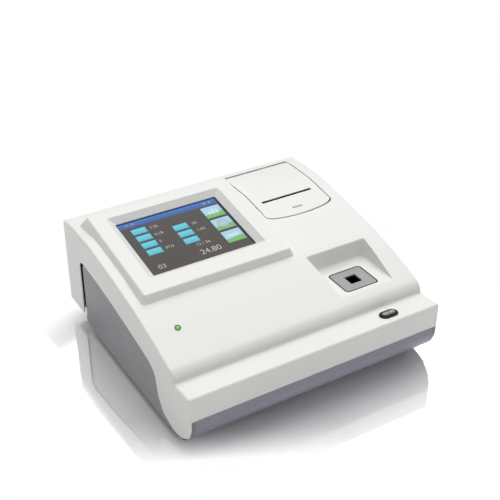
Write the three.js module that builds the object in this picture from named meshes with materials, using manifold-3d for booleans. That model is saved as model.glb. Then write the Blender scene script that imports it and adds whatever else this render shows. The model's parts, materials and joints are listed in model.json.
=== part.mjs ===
// A benchtop specific protein analyzer: a white cover with a touch screen, a receipt printer and a
// cuvette well, on a blue-grey base tray.
// Millimetres. X runs to the right, Y from the front face to the back, Z up from the bench.
import * as THREE from "three";
import { mergeVertices } from "three/addons/utils/BufferGeometryUtils.js";
import Module from "manifold-3d";

// Whole case
const bodyWidth = 280;
const bodyDepth = 269;
const crownHeight = 114;
const wall = 2.5;
const gap = 0.3;
const overrun = 20;

// Front ledge, white front face and the lines of the sides
const ledgeDepth = 28;
const ledgeFrontHeight = 67.2;
const ledgeRearHeight = 64.6;
const faceBottomHeight = 40.9;
const rearLegHeight = 15.9;

// The slope from the ledge to the back, as shares of the run behind the ledge and of the rise to the crown
const slopeShares = [
  [0.0025, 0.081], [0.0124, 0.154], [0.028, 0.211], [0.048, 0.249], [0.077, 0.296], [0.112, 0.35],
  [0.186, 0.466], [0.287, 0.603], [0.354, 0.682], [0.463, 0.781], [0.539, 0.844], [0.624, 0.903],
  [0.697, 0.953], [0.79, 0.994], [0.891, 0.992], [1, 0.955],
];
// The front foot of the base and of the side legs, as shares of the ledge depth and of the face bottom
const noseShares = [[0, 0.81], [0.065, 0.648], [0.175, 0.477]];
// The side leg behind the nose and the arch over the side panel, as shares of the body depth and the crown
const legShares = [
  [0.042, 0.123], [0.07, 0.098], [0.125, 0.085], [0.18, 0.124], [0.217, 0.22], [0.233, 0.33],
];
const archShares = [
  [0.245, 0.432], [0.262, 0.477], [0.283, 0.504], [0.385, 0.564], [0.549, 0.639], [0.7, 0.694],
  [0.848, 0.722], [0.861, 0.71], [0.865, 0.685],
];

// Raised screen platform, its recess and the display below
const screenWidth = 115;
const screenHeight = 86;
const screenTilt = THREE.MathUtils.degToRad(8.5);
const screenLeftMargin = 38.2;
const screenRearMargin = 89.5;
const platformRise = 6.3;
const platformSideBand = 23;
const platformFrontBand = 26.3;
const platformRearBand = 18.2;
const platformSkirt = 14;
const platformDraft = 0.55;
const platformCorner = 7;
const recessDepth = 5;
const recessFlare = 7;
const recessCorner = 2;
const lipThickness = 1;
const glassThickness = 1.2;
const glassLap = 2;
const moduleThickness = 8;
const moduleLap = 12.5;
const moduleLapAcross = 7;
const bracketThickness = 1.2;
const bracketBand = 12;
const displayPostRadius = 3.5;
const displayPostOffset = 1.3;

// Receipt printer in the top, behind the sample well
const lidWidth = 81;
const lidRightMargin = 14.2;
const lidRearMargin = 12.2;
const lidDepth = 95.3;
const lidBow = 5.5;
const lidCorner = 4;
const seam = 0.5;
const barrelRadius = 4.2;
const hingeRodRadius = 1;
const slotWidth = 62.4;
const slotOpening = 2.2;
const slotSetback = 63.3;
const cheekThickness = 3;
const frameWall = 2.5;
const frameFrontWall = 3;
const frameDrop = 55;
const rollRadius = 20;
const rollWidth = 57.5;
const rollSetback = 32.3;
const rollDrop = 30;
const rollSideSpace = 1;
const spindleRadius = 5.5;
const platenRadius = 6;
const platenLength = 58;
const platenShaftRadius = 2;
const platenDrop = 17.4;
const headThickness = 3.8;
const headHeight = 18;
const headLength = 60;
const leafThickness = 0.8;
const leafWidth = 20;
const leafFootHeight = 6;
const webSpace = 1;
const gearModule = 0.8;
const gearBacklash = 0.3;
const gearWidth = 4;
const platenTeeth = 24;
const idlerTeeth = 20;
const pinionTeeth = 12;
const idlerAngle = THREE.MathUtils.degToRad(-110);
const pinionAngle = THREE.MathUtils.degToRad(195);
const motorRadius = 6.2;
const motorLength = 18;
const motorShaftRadius = 1;
const latchWidth = 12;
const latchThickness = 2;
const latchDrop = 6;

// Sample well: the sloping recess, the metal plate in its floor and the optics below
const wellFloorHeight = 79;
const wellRightMargin = 24;
const wellWidth = 63;
const wellRearLine = 97;
const wellDraft = 0.25;
const wellCorner = 4;
const plateWidth = 36.5;
const plateDepth = 31.4;
const plateSink = 0.6;
const plateCorner = 3.5;
const plateCentreInset = 29.3;
const plateCentreLine = 66.2;
const cuvetteBore = 12.8;
const boreDepth = 41.6;
const blockWidth = 44;
const blockDepth = 40;
const blockHeight = 46.6;
const portRadius = 3.5;
const portHeight = 18.4;
const lensThickness = 2.4;
const lensInset = 2;
const sourceLength = 26;
const detectorLength = 18;
const opticsWidth = 18;
const heaterThickness = 1.2;
const heaterWidth = 30;
const heaterHeight = 30;
const chassisThickness = 3;
const chassisWidth = 52;
const chassisDepth = 46;
const chassisOffset = 10;
const chassisLeg = 7;
const stirRotorRadius = 7;
const stirRotorThickness = 2.4;
const stirBarWidth = 7;
const stirShaftLength = 8.6;
const stirSpace = 1;
const stirMotorRadius = 10;
const stirMotorShaftRadius = 1;

// Power button on the ledge and status light on the slope
const buttonRightMargin = 53;
const buttonFrontMargin = 13.5;
const buttonLength = 16;
const buttonBreadth = 7.8;
const buttonProud = 2.2;
const buttonSink = 3.5;
const buttonTravel = 1.5;
const stemWidth = 3;
const stemLength = 3.5;
const ringBand = 1.9;
const ringSleeveBand = 1;
const ringProud = 1.2;
const ringDepth = 5;
const switchHeight = 3;
const switchWidth = 6;
const smallBoardThickness = 1.6;
const buttonBoardLength = 34;
const buttonBoardDepth = 10;
const boardPostRadius = 2.5;
const lightLeftMargin = 29.2;
const lightShare = 0.549;
const lightLensRadius = 1.9;
const lightRingBand = 1;
const lightRingProud = 0.6;
const lightLensProud = 1;
const lightDepth = 8;
const lightBoardLength = 20;
const lightBoardDepth = 10;

// Base tray, feet and case screws
const footHeight = 4;
const footRadius = 9;
const footInset = 28;
const footFrontLine = 62;
const footRearLine = 196;
const footPlugRadius = 2.5;
const footPlugLength = 4.5;
const footBevel = 1;
const baseWall = 2.5;
const sideGap = 0.5;
const sideOverlap = 6;
const panelReveal = 3;
const trayRearHeight = 20;
const frontLipHeight = 5;
const frontLipThickness = 2.1;
const frontLipRoot = 10;
const sillHeight = 4.5;
const bossRadius = 4.5;
const bossInset = 11;
const bossFrontLine = 56;
const bossSpace = 10.5;
const bossSplitHeight = 18;
const screwShankRadius = 1.5;
const screwHeadRadius = 2.8;
const screwHeadHeight = 2;
const screwLength = 20;
const screwSink = 0.6;

// Rear panel with its sockets
const rearPanelInset = 3;
const rearPanelThickness = 2.5;
const panelSideGap = 0.3;
const panelScrewInset = 40;
const panelScrewDrop = 8;
const panelScrewLength = 7.5;
const panelBossWidth = 9;
const panelBossDepth = 5.5;
const ventWidth = 3;
const ventHeight = 26;
const ventPitch = 7;
const ventCount = 9;
const ventLeftMargin = 176;
const ventBottom = 42;
const socketGap = 0.5;
const socketProud = 0.8;
const inletCentre = 45;
const inletWidth = 12;
const inletHeight = 12;
const inletBoreRadius = 3.2;
const inletPinRadius = 1;
const inletBoreDepth = 9;
const serialCentre = 85;
const serialWidth = 31;
const serialHeight = 12.5;
const serialRimWidth = 18;
const serialRimHeight = 9;
const serialRimWall = 0.6;
const serialRimDepth = 4;
const usbCentre = 125;
const usbWidth = 13;
const usbHeight = 11.5;
const usbHollowWidth = 9;
const usbHollowHeight = 8;
const usbHollowDepth = 8;
const usbTongueWidth = 5.6;
const usbTongueHeight = 3.2;
const socketLength = 15;

// Circuit boards on posts of the base
const boardThickness = 1.6;
const boardHeight = 13.3;
const boardPostInset = 6;
const mainBoardLeft = 22;
const mainBoardWidth = 146;
const mainBoardSpace = 31.2;
const mainBoardDepth = 110;
const powerBoardRightMargin = 20;
const powerBoardWidth = 75;
const powerBoardFront = 122;
const powerBoardDepth = 68;
const ioBoardLeft = 30;
const ioBoardWidth = 115;
const ioBoardDepth = 52;
const ioBoardHeight = 30;
const shieldSize = 42;
const shieldHeight = 4;
const headerLength = 30;
const headerWidth = 6;
const headerHeight = 7;
const transformerWidth = 32;
const transformerDepth = 28;
const transformerHeight = 22;
const capacitorRadius = 8;
const capacitorHeight = 24;
const buzzerRadius = 6;
const buzzerHeight = 8;
const batteryRadius = 10;
const batteryHeight = 3.6;
const cableWidth = 30;
const cableThickness = 0.6;
const cableSlack = 10;
const cableSetback = 20;

// Counts for round stretches
const roundSides = 32;
const smallSides = 16;
const smallRadius = 4;
const cornerSteps = 4;
const bowSteps = 16;
const flankSteps = 4;
const cableSteps = 16;

// Places worked out from the sizes above
const halfWidth = bodyWidth / 2;
const trayHalf = halfWidth - wall - sideGap;
const trayTop = faceBottomHeight - gap;
const slotLine = bodyDepth - lidRearMargin - slotSetback;
const lidRearLine = bodyDepth - lidRearMargin;
const lidCentre = halfWidth - lidRightMargin - lidWidth / 2;
const screenCentre = -halfWidth + screenLeftMargin + screenWidth / 2;
const screenLine = bodyDepth - screenRearMargin;
const platformFront = screenLine - screenHeight / 2 - platformFrontBand;
const wellLeft = halfWidth - wellRightMargin - wellWidth;
const plateCentre = wellLeft + plateCentreInset;
const buttonCentre = halfWidth - buttonRightMargin;
const lightCentre = -halfWidth + lightLeftMargin;
const lightLine = ledgeDepth + lightShare * (platformFront - ledgeDepth);
const panelBack = bodyDepth - rearPanelInset;
const panelFront = panelBack - rearPanelThickness;
const screwHole = screwShankRadius + gap;
const frameFront = lidRearLine - lidDepth - frameFrontWall;
const bossRearLine = frameFront - bossSpace;
const mainBoardFront = panelFront - gap - ioBoardDepth - mainBoardSpace - mainBoardDepth;

const wasm = await Module();
wasm.setup();

// Solids from three.js geometry, and back

function solidOf(geometry) {
  const bare = geometry.index ? geometry.toNonIndexed() : geometry.clone();
  bare.deleteAttribute("normal");
  bare.deleteAttribute("uv");
  const merged = mergeVertices(bare);
  return new wasm.Manifold(
    new wasm.Mesh({
      numProp: 3,
      vertProperties: merged.attributes.position.array,
      triVerts: new Uint32Array(merged.index.array),
    }),
  );
}

function geometryOf(solid) {
  const mesh = solid.getMesh();
  const geometry = new THREE.BufferGeometry();
  geometry.setAttribute("position", new THREE.BufferAttribute(mesh.vertProperties, 3));
  geometry.setIndex(new THREE.BufferAttribute(mesh.triVerts, 1));
  geometry.computeVertexNormals();
  return geometry;
}

function moved(solid, matrix) {
  return solidOf(geometryOf(solid).applyMatrix4(matrix));
}

function joined(...solids) {
  return solids.reduce((sum, solid) => sum.add(solid));
}

function cut(solid, ...tools) {
  return tools.reduce((left, tool) => left.subtract(tool), solid);
}

// Simple bodies: x, y and z are [low, high] pairs

function block(x, y, z) {
  const geometry = new THREE.BoxGeometry(x[1] - x[0], y[1] - y[0], z[1] - z[0]);
  geometry.translate((x[0] + x[1]) / 2, (y[0] + y[1]) / 2, (z[0] + z[1]) / 2);
  return solidOf(geometry);
}

function around(centre, size) {
  return [centre - size / 2, centre + size / 2];
}

function prism(outline, span, basis) {
  const shape = new THREE.Shape(outline.map((point) => new THREE.Vector2(point[0], point[1])));
  const geometry = new THREE.ExtrudeGeometry(shape, { depth: span[1] - span[0], bevelEnabled: false });
  geometry.translate(0, 0, span[0]);
  return solidOf(geometry.applyMatrix4(basis));
}

const axisX = new THREE.Vector3(1, 0, 0);
const axisY = new THREE.Vector3(0, 1, 0);
const axisZ = new THREE.Vector3(0, 0, 1);
const alongX = new THREE.Matrix4().makeBasis(axisY, axisZ, axisX);
const alongY = new THREE.Matrix4().makeBasis(axisZ, axisX, axisY);
const alongZ = new THREE.Matrix4();

function sidesFor(radius) {
  return radius < smallRadius ? smallSides : roundSides;
}

function circle(radius, centre) {
  const sides = sidesFor(radius);
  const points = [];
  for (let i = 0; i < sides; i += 1) {
    const angle = (2 * Math.PI * i) / sides;
    points.push([centre[0] + radius * Math.cos(angle), centre[1] + radius * Math.sin(angle)]);
  }
  return points;
}

// A rod along X has its centre as [y, z], along Y as [z, x], along Z as [x, y]
function rod(radius, centre, span, basis) {
  return prism(circle(radius, centre), span, basis);
}

function roundedOutline(x, y, radius) {
  const corners = [[x[1], y[1], 0], [x[0], y[1], 1], [x[0], y[0], 2], [x[1], y[0], 3]];
  const limit = Math.min(radius, (x[1] - x[0]) / 2 - gap / 2, (y[1] - y[0]) / 2 - gap / 2);
  const points = [];
  for (const [cornerX, cornerY, quarter] of corners) {
    const centreX = cornerX - limit * (cornerX === x[1] ? 1 : -1);
    const centreY = cornerY - limit * (cornerY === y[1] ? 1 : -1);
    for (let i = 0; i <= cornerSteps; i += 1) {
      const angle = ((quarter + i / cornerSteps) * Math.PI) / 2;
      points.push([centreX + limit * Math.cos(angle), centreY + limit * Math.sin(angle)]);
    }
  }
  return points;
}

// A body between two outlines of as many points, one above the other
function frustum(lowOutline, lowHeight, highOutline, highHeight) {
  const count = lowOutline.length;
  const positions = [];
  lowOutline.forEach((point) => positions.push(point[0], point[1], lowHeight));
  highOutline.forEach((point) => positions.push(point[0], point[1], highHeight));
  const indices = [];
  for (let i = 0; i < count; i += 1) {
    const next = (i + 1) % count;
    indices.push(i, next, count + next, i, count + next, count + i);
  }
  const face = lowOutline.map((point) => new THREE.Vector2(point[0], point[1]));
  for (const [a, b, c] of THREE.ShapeUtils.triangulateShape(face, [])) {
    indices.push(a, c, b, count + a, count + b, count + c);
  }
  const geometry = new THREE.BufferGeometry();
  geometry.setAttribute("position", new THREE.Float32BufferAttribute(positions, 3));
  geometry.setIndex(indices);
  return solidOf(geometry);
}

// A line of [y, z] points moved square to itself, to its right-hand side
function insetLine(points, distance) {
  return points.map((point, i) => {
    const before = points[Math.max(i - 1, 0)];
    const after = points[Math.min(i + 1, points.length - 1)];
    const into = i > 0 ? squareTo(before, point) : squareTo(point, after);
    const out = i < points.length - 1 ? squareTo(point, after) : into;
    const scale = distance / (1 + into[0] * out[0] + into[1] * out[1]);
    return [point[0] + scale * (into[0] + out[0]), point[1] + scale * (into[1] + out[1])];
  });
}

function squareTo(from, to) {
  const length = Math.hypot(to[0] - from[0], to[1] - from[1]);
  return [(to[1] - from[1]) / length, -(to[0] - from[0]) / length];
}

function heightOn(line, y) {
  const last = line.findIndex((point) => point[0] >= y);
  const end = last < 1 ? line.length - 1 : last;
  const [low, high] = [line[end - 1], line[end]];
  return low[1] + ((high[1] - low[1]) * (y - low[0])) / (high[0] - low[0]);
}

function named(name, solid, material) {
  const mesh = new THREE.Mesh(geometryOf(solid), material);
  mesh.name = name;
  return mesh;
}

// Finishes

function finish(color, roughness, metalness) {
  return new THREE.MeshStandardMaterial({ color, roughness, metalness });
}

const whitePlastic = finish(0xe9e9e5, 0.45, 0);
const greyPlastic = finish(0x7b7c8a, 0.5, 0);
const darkPlastic = finish(0x26272a, 0.5, 0);
const midPlastic = finish(0x8d8f92, 0.5, 0);
const naturalPlastic = finish(0xcfc9b8, 0.5, 0);
const rubber = finish(0x2b2b2d, 0.85, 0);
const steel = finish(0xb4b6ba, 0.35, 1);
const satinMetal = finish(0x9b9da1, 0.4, 1);
const blackMetal = finish(0x2a2b2e, 0.5, 0.6);
const brass = finish(0xb79a55, 0.35, 1);
const boardGreen = finish(0x1f6b45, 0.6, 0);
const glass = finish(0x1a2733, 0.08, 0);
const clearLens = finish(0xdfe8ee, 0.05, 0);
const greenLens = finish(0x58c322, 0.2, 0);
const paper = finish(0xf3f1ea, 0.9, 0);
const heaterFilm = finish(0xb0642a, 0.5, 0);

// Lines of the case, as [y, z] points

function slopeLine() {
  const run = bodyDepth - ledgeDepth;
  const rise = crownHeight - ledgeRearHeight;
  return slopeShares.map(([y, z]) => [ledgeDepth + y * run, ledgeRearHeight + z * rise]);
}

const coverLine = [
  [0, faceBottomHeight],
  [0, ledgeFrontHeight],
  [ledgeDepth, ledgeRearHeight],
  ...slopeLine(),
];
const topLine = coverLine.slice(1);
const topInside = insetLine(topLine, wall);

function topHeight(y) {
  return heightOn(topLine, y);
}

function noseLine() {
  return noseShares.map(([y, z]) => [y * ledgeDepth, z * faceBottomHeight]);
}

function sideOutline() {
  const archLine = archShares.map(([y, z]) => [y * bodyDepth, z * crownHeight]);
  const archRear = archLine[archLine.length - 1][0];
  return [
    ...coverLine,
    [bodyDepth, rearLegHeight],
    [archRear, rearLegHeight],
    ...archLine.reverse(),
    ...legShares.map(([y, z]) => [y * bodyDepth, z * crownHeight]).reverse(),
    ...noseLine().reverse(),
  ];
}

// The space under the cover, open below, behind and under the front face
function coverHollow() {
  const inside = insetLine(coverLine, wall);
  inside[0][1] = faceBottomHeight;
  const rearInside = inside[inside.length - 1][1];
  return [
    [-overrun, -overrun],
    [-overrun, faceBottomHeight],
    ...inside,
    [bodyDepth + overrun, rearInside],
    [bodyDepth + overrun, -overrun],
  ];
}

// The screen frame: its origin is on the platform's top plane, over the middle of the display

function screenMatrix() {
  const matrix = new THREE.Matrix4().makeRotationX(screenTilt);
  matrix.setPosition(screenCentre, screenLine, topHeight(screenLine) + platformRise);
  return matrix;
}

function platformOutline(inset, spread) {
  const side = screenWidth / 2 + platformSideBand - inset + spread;
  const front = -screenHeight / 2 - platformFrontBand + inset - spread;
  const rear = screenHeight / 2 + platformRearBand - inset + spread;
  return roundedOutline([-side, side], [front, rear], platformCorner - inset + spread);
}

function platformBody(inset, skirt) {
  const spread = platformDraft * (skirt - inset);
  return frustum(platformOutline(inset, spread), -skirt, platformOutline(inset, 0), -inset);
}

function screenOutline(flare, corner) {
  return roundedOutline(around(0, screenWidth + 2 * flare), around(0, screenHeight + 2 * flare), corner);
}

function recessVoid() {
  const slope = recessFlare / recessDepth;
  const above = recessFlare + slope * overrun;
  const flared = frustum(
    screenOutline(0, recessCorner / 2), -recessDepth,
    screenOutline(above, recessCorner), overrun,
  );
  const below = [-recessDepth - overrun, -recessDepth + gap];
  const opening = prism(screenOutline(0, recessCorner / 2), below, alongZ);
  return joined(flared, opening);
}

function recessBody() {
  return frustum(
    screenOutline(wall, recessCorner), -recessDepth - lipThickness,
    screenOutline(recessFlare + wall, recessCorner), -wall / 2,
  );
}

const postSpots = [[-1, -1], [1, -1], [-1, 1], [1, 1]].map(([sideX, sideY]) => [
  sideX * (screenWidth / 2 + moduleLap + displayPostRadius + displayPostOffset),
  sideY * (screenHeight / 2 + moduleLapAcross + displayPostRadius + displayPostOffset),
]);
const glassTop = -recessDepth - lipThickness - gap;
const moduleTop = glassTop - glassThickness - gap;
const bracketTop = moduleTop - moduleThickness - gap;
const displayScrewTop = moduleTop - gap;

function displayPosts() {
  return postSpots.map((spot) => rod(displayPostRadius, spot, [bracketTop + gap, -wall / 2], alongZ));
}

function displayPostHoles() {
  return postSpots.map((spot) => rod(screwHole, spot, [bracketTop, displayScrewTop + gap], alongZ));
}

// The sample recess: a level floor, walls that open upwards, and a front that runs out of the slope

function wellOutline(spread) {
  const x = [wellLeft - spread, wellLeft + wellWidth + spread];
  return roundedOutline(x, [-overrun - spread, wellRearLine + spread], wellCorner + spread);
}

function wellSpace(grow) {
  const low = wellFloorHeight - grow;
  const high = crownHeight + overrun;
  return frustum(wellOutline(grow), low, wellOutline(grow + wellDraft * (high - low)), high);
}

function plateOutline(spread) {
  return roundedOutline(
    around(plateCentre, plateWidth + 2 * spread),
    around(plateCentreLine, plateDepth + 2 * spread),
    plateCorner + spread,
  );
}

// The printer lid's outline: straight sides and back, and a front that bows forward

function lidOutline(spread) {
  const half = lidWidth / 2 + spread;
  const front = lidRearLine - lidDepth - spread;
  const rear = lidRearLine + spread - seam;
  const points = [[lidCentre + half, rear], [lidCentre - half, rear]];
  for (let i = 0; i <= bowSteps; i += 1) {
    const share = -Math.cos((Math.PI * i) / bowSteps);
    const rise = lidBow * share ** 2 + lidCorner * share ** 12;
    points.push([lidCentre + half * share, front + rise]);
  }
  return points;
}

const barrelLine = lidRearLine - seam - barrelRadius;
const barrelHeight = heightOn(topLine, barrelLine) - barrelRadius;

// The ledge frame for the power button and the slope frame for the status light

function tiltedMatrix(x, y, line) {
  const run = heightOn(line, y + wall) - heightOn(line, y - wall);
  const matrix = new THREE.Matrix4().makeRotationX(Math.atan2(run, 2 * wall));
  matrix.setPosition(x, y, heightOn(line, y));
  return matrix;
}

const buttonMatrix = tiltedMatrix(buttonCentre, buttonFrontMargin, topLine);
const lightMatrix = tiltedMatrix(lightCentre, lightLine, topLine);

function pillOutline(spread) {
  const length = buttonLength + 2 * spread;
  const breadth = buttonBreadth + 2 * spread;
  return roundedOutline(around(0, length), around(0, breadth), breadth / 2);
}

const switchTop = -buttonSink - stemLength - buttonTravel - gap;
const buttonBoardTop = switchTop - switchHeight - gap;
const buttonBoardSpot = buttonBoardLength / 2 - boardPostRadius;
const lightBoardTop = -lightDepth - gap;
const lightBoardSpot = lightBoardLength / 2 - boardPostRadius;

// White cover

function bossSpots() {
  const x = halfWidth - bossInset;
  return [[-x, bossFrontLine], [x, bossFrontLine], [-x, bossRearLine], [x, bossRearLine]];
}

function panelScrewSpots() {
  const height = heightOn(topInside, panelFront) - panelScrewDrop;
  return [-1, 1].map((side) => [side * (halfWidth - panelScrewInset), height]);
}

function topCover() {
  const screen = screenMatrix();
  const across = [-halfWidth, halfWidth];
  const inner = [-halfWidth + wall, halfWidth - wall];
  const outer = joined(prism(sideOutline(), across, alongX), moved(platformBody(0, platformSkirt), screen));
  const platformHollow = moved(platformBody(wall, platformSkirt + wall), screen);
  let cover = cut(outer, prism(coverHollow(), inner, alongX), platformHollow);

  // Funnel round the display, walls of the sample well, posts and screw bosses
  const within = prism(coverShadow(), across, alongX);
  const funnel = moved(recessBody(), screen);
  const well = wellSpace(wall).intersect(within);
  const posts = displayPosts().map((post) => moved(post, screen));
  const bosses = bossSpots().map((spot) =>
    rod(bossRadius, spot, [bossSplitHeight + gap, crownHeight], alongZ).intersect(within),
  );
  const panelBosses = panelScrewSpots().map(([x, z]) =>
    block(around(x, panelBossWidth), [panelFront - gap - panelBossDepth, panelFront - gap],
      [z - panelBossWidth / 2, crownHeight]).intersect(within),
  );
  const buttonPosts = [-buttonBoardSpot, buttonBoardSpot].map((x) =>
    moved(rod(boardPostRadius, [x, 0], [buttonBoardTop + gap, -wall / 2], alongZ), buttonMatrix),
  );
  const lightPosts = [-lightBoardSpot, lightBoardSpot].map((x) =>
    moved(rod(boardPostRadius, [x, 0], [lightBoardTop + gap, -wall / 2], alongZ), lightMatrix),
  );
  cover = joined(cover, funnel, well, ...posts, ...bosses, ...panelBosses, ...buttonPosts, ...lightPosts);

  // Openings
  const bossHoles = bossSpots().map((spot) =>
    rod(screwHole, spot, [bossSplitHeight, bossSplitHeight + screwLength], alongZ),
  );
  const panelHoles = panelScrewSpots().map(([x, z]) =>
    rod(screwHole, [z, x], [panelFront - gap - panelScrewLength, panelFront], alongY),
  );
  const ringHole = prism(pillOutline(gap + ringSleeveBand + gap), [-wall - overrun / 2, overrun], alongZ);
  const lightHoleRadius = lightLensRadius + gap + lightRingBand / 2 + gap;
  const lightHole = rod(lightHoleRadius, [0, 0], [-wall - gap, overrun], alongZ);
  return cut(
    cover,
    moved(recessVoid(), screen),
    wellSpace(0),
    prism(plateOutline(gap), [wellFloorHeight - overrun, wellFloorHeight + gap], alongZ),
    prism(lidOutline(seam), [crownHeight - overrun, crownHeight + overrun], alongZ),
    ...displayPostHoles().map((hole) => moved(hole, screen)),
    ...bossHoles,
    ...panelHoles,
    moved(ringHole, buttonMatrix),
    moved(lightHole, lightMatrix),
  );
}

// Everything under half the thickness of the top wall
function coverShadow() {
  const line = insetLine(coverLine, wall / 2);
  return [
    ...line,
    [bodyDepth, line[line.length - 1][1]],
    [bodyDepth, bossSplitHeight],
    [line[0][0], bossSplitHeight],
  ];
}

// Blue-grey base tray

function trayBottomLine() {
  const flatFront = footFrontLine - footRadius;
  const flatRear = footRearLine + footRadius;
  const nose = noseLine();
  const [noseY, noseZ] = nose[nose.length - 1];
  const fall = noseZ - footHeight;
  const rise = trayRearHeight - footHeight;
  const curveShares = [[0.15, 0.5], [0.36, 0.22], [0.63, 0.06]];
  const tailShares = [[0.3, 0.16], [0.5, 0.52], [0.68, 0.86]];
  return [
    [0, trayTop],
    ...nose,
    ...curveShares.map(([y, z]) => [noseY + y * (flatFront - noseY), footHeight + z * fall]),
    [flatFront, footHeight],
    [flatRear, footHeight],
    ...tailShares.map(([y, z]) => [flatRear + y * (panelBack - flatRear), footHeight + z * rise]),
    [panelBack, trayRearHeight],
  ];
}

// A side panel fills the arch of the cover: it rises behind its top and ends short of its rear leg
function sidePanelOutline() {
  const arch = archShares.slice(0, -1);
  const sideTop = arch.map(([y, z]) => [y * bodyDepth, z * crownHeight + sideOverlap]);
  const rear = archShares[archShares.length - 1][0] * bodyDepth - panelReveal;
  const bottom = trayBottomLine();
  const top = sideTop.filter((point) => point[0] < rear);
  return [
    ...bottom.filter((point) => point[0] < rear),
    [rear, heightOn(bottom, rear)],
    [rear, top[top.length - 1][1]],
    ...top.reverse(),
    [wall + gap, top[top.length - 1][1]],
    [wall + gap, trayTop],
  ];
}

function trayHollow() {
  const floor = insetLine(trayBottomLine().reverse(), baseWall).reverse();
  floor[0][1] = crownHeight;
  floor.push([panelBack + overrun, floor[floor.length - 1][1]]);
  floor.push([panelBack + overrun, crownHeight]);
  return floor;
}

const footSpots = [
  ["front_left", -1, footFrontLine], ["front_right", 1, footFrontLine],
  ["rear_left", -1, footRearLine], ["rear_right", 1, footRearLine],
].map(([place, side, line]) => [place, side * (halfWidth - footInset), line]);

const boards = {
  main: [mainBoardLeft, mainBoardWidth, mainBoardFront, mainBoardDepth, boardHeight],
  power: [bodyWidth - powerBoardRightMargin - powerBoardWidth, powerBoardWidth, powerBoardFront,
    powerBoardDepth, boardHeight],
  io: [ioBoardLeft, ioBoardWidth, panelFront - gap - ioBoardDepth, ioBoardDepth, ioBoardHeight],
};

function boardSpan([left, width, front, depth]) {
  return { x: [-halfWidth + left, -halfWidth + left + width], y: [front, front + depth] };
}

function boardPosts(board) {
  const { x, y } = boardSpan(board);
  const top = board[4] - gap;
  const spots = [];
  for (const px of [x[0] + boardPostInset, x[1] - boardPostInset]) {
    for (const py of [y[0] + boardPostInset, y[1] - boardPostInset]) {
      const floor = heightOn(trayBottomLine(), py);
      spots.push(rod(boardPostRadius, [px, py], [floor + baseWall / 2, top], alongZ));
    }
  }
  return spots;
}

function baseTray() {
  const half = trayHalf - baseWall - gap;
  const filled = [...trayBottomLine(), [panelBack, trayTop]];
  const hollow = prism(trayHollow(), [-half - overrun, half + overrun], alongX);
  const shell = cut(prism(filled, [-half, half], alongX), hollow);
  const lipAcross = [-half + baseWall, half - baseWall];
  const lipRoot = block(lipAcross, [baseWall / 2, wall + gap + frontLipThickness],
    [trayTop - frontLipRoot, trayTop]);
  const lip = block(lipAcross, [wall + gap, wall + gap + frontLipThickness],
    [trayTop - frontLipRoot, trayTop + frontLipHeight]);
  const sill = block(lipAcross, [panelFront - gap - baseWall, panelFront - gap],
    [trayRearHeight + baseWall / 2, trayRearHeight + baseWall + sillHeight]);
  const bosses = bossSpots().map((spot) =>
    rod(bossRadius, spot, [footHeight + baseWall / 2, bossSplitHeight], alongZ),
  );
  const posts = Object.values(boards).flatMap(boardPosts);
  const headTop = footHeight + screwSink + screwHeadHeight + gap;
  const screwWells = bossSpots().flatMap((spot) => [
    rod(screwHeadRadius + gap, spot, [0, headTop], alongZ),
    rod(screwHole, spot, [0, bossSplitHeight + gap], alongZ),
  ]);
  const plugHoles = footSpots.map(([, x, y]) =>
    rod(footPlugRadius + gap, [x, y], [0, footHeight + baseWall + gap], alongZ),
  );
  const tray = joined(shell, lipRoot, lip, sill, ...bosses, ...posts);
  return cut(tray, ...screwWells, ...plugHoles);
}

// A turned body about the Z axis from [radius, z] points
function turned(profile, x, y) {
  const points = profile.map(([radius, z]) => new THREE.Vector2(radius, z));
  const widest = Math.max(...profile.map(([radius]) => radius));
  const geometry = new THREE.LatheGeometry(points, sidesFor(widest));
  geometry.rotateX(Math.PI / 2);
  geometry.translate(x, y, 0);
  return solidOf(geometry);
}

function foot(x, y) {
  const top = footHeight - gap;
  const profile = [
    [0, 0], [footRadius - footBevel, 0], [footRadius, footBevel], [footRadius, top],
    [footPlugRadius, top], [footPlugRadius, top + footPlugLength], [0, top + footPlugLength],
  ];
  return turned(profile, x, y);
}

// A screw along Z with its head at the bottom
function screw(length) {
  const profile = [
    [0, 0], [screwHeadRadius - screwSink, 0], [screwHeadRadius, screwSink],
    [screwHeadRadius, screwHeadHeight], [screwShankRadius, screwHeadHeight], [screwShankRadius, length],
    [0, length],
  ];
  return turned(profile, 0, 0);
}

function housing() {
  const group = new THREE.Group();
  group.add(named("top_cover", topCover(), whitePlastic));
  group.add(named("base_tray", baseTray(), greyPlastic));
  const sideInner = trayHalf - baseWall;
  const leftPanel = prism(sidePanelOutline(), [-trayHalf, -sideInner], alongX);
  const rightPanel = prism(sidePanelOutline(), [sideInner, trayHalf], alongX);
  group.add(named("side_panel_left", leftPanel, greyPlastic));
  group.add(named("side_panel_right", rightPanel, greyPlastic));
  for (const [place, x, y] of footSpots) {
    group.add(named("foot_" + place, foot(x, y), rubber));
  }
  const places = ["front_left", "front_right", "rear_left", "rear_right"];
  bossSpots().forEach(([x, y], i) => {
    const mesh = named("case_screw_" + places[i], screw(screwLength), steel);
    mesh.position.set(x, y, footHeight + screwSink);
    group.add(mesh);
  });
  group.add(...rearPanelPieces());
  return group;
}

// Rear panel, its screws and the sockets that look through it

const sockets = {
  power_inlet: [-halfWidth + inletCentre, inletWidth, inletHeight],
  serial_port: [-halfWidth + serialCentre, serialWidth, serialHeight],
  usb_port: [-halfWidth + usbCentre, usbWidth, usbHeight],
};
const socketBottom = ioBoardHeight + boardThickness + gap;
const socketBack = panelBack + socketProud;

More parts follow.
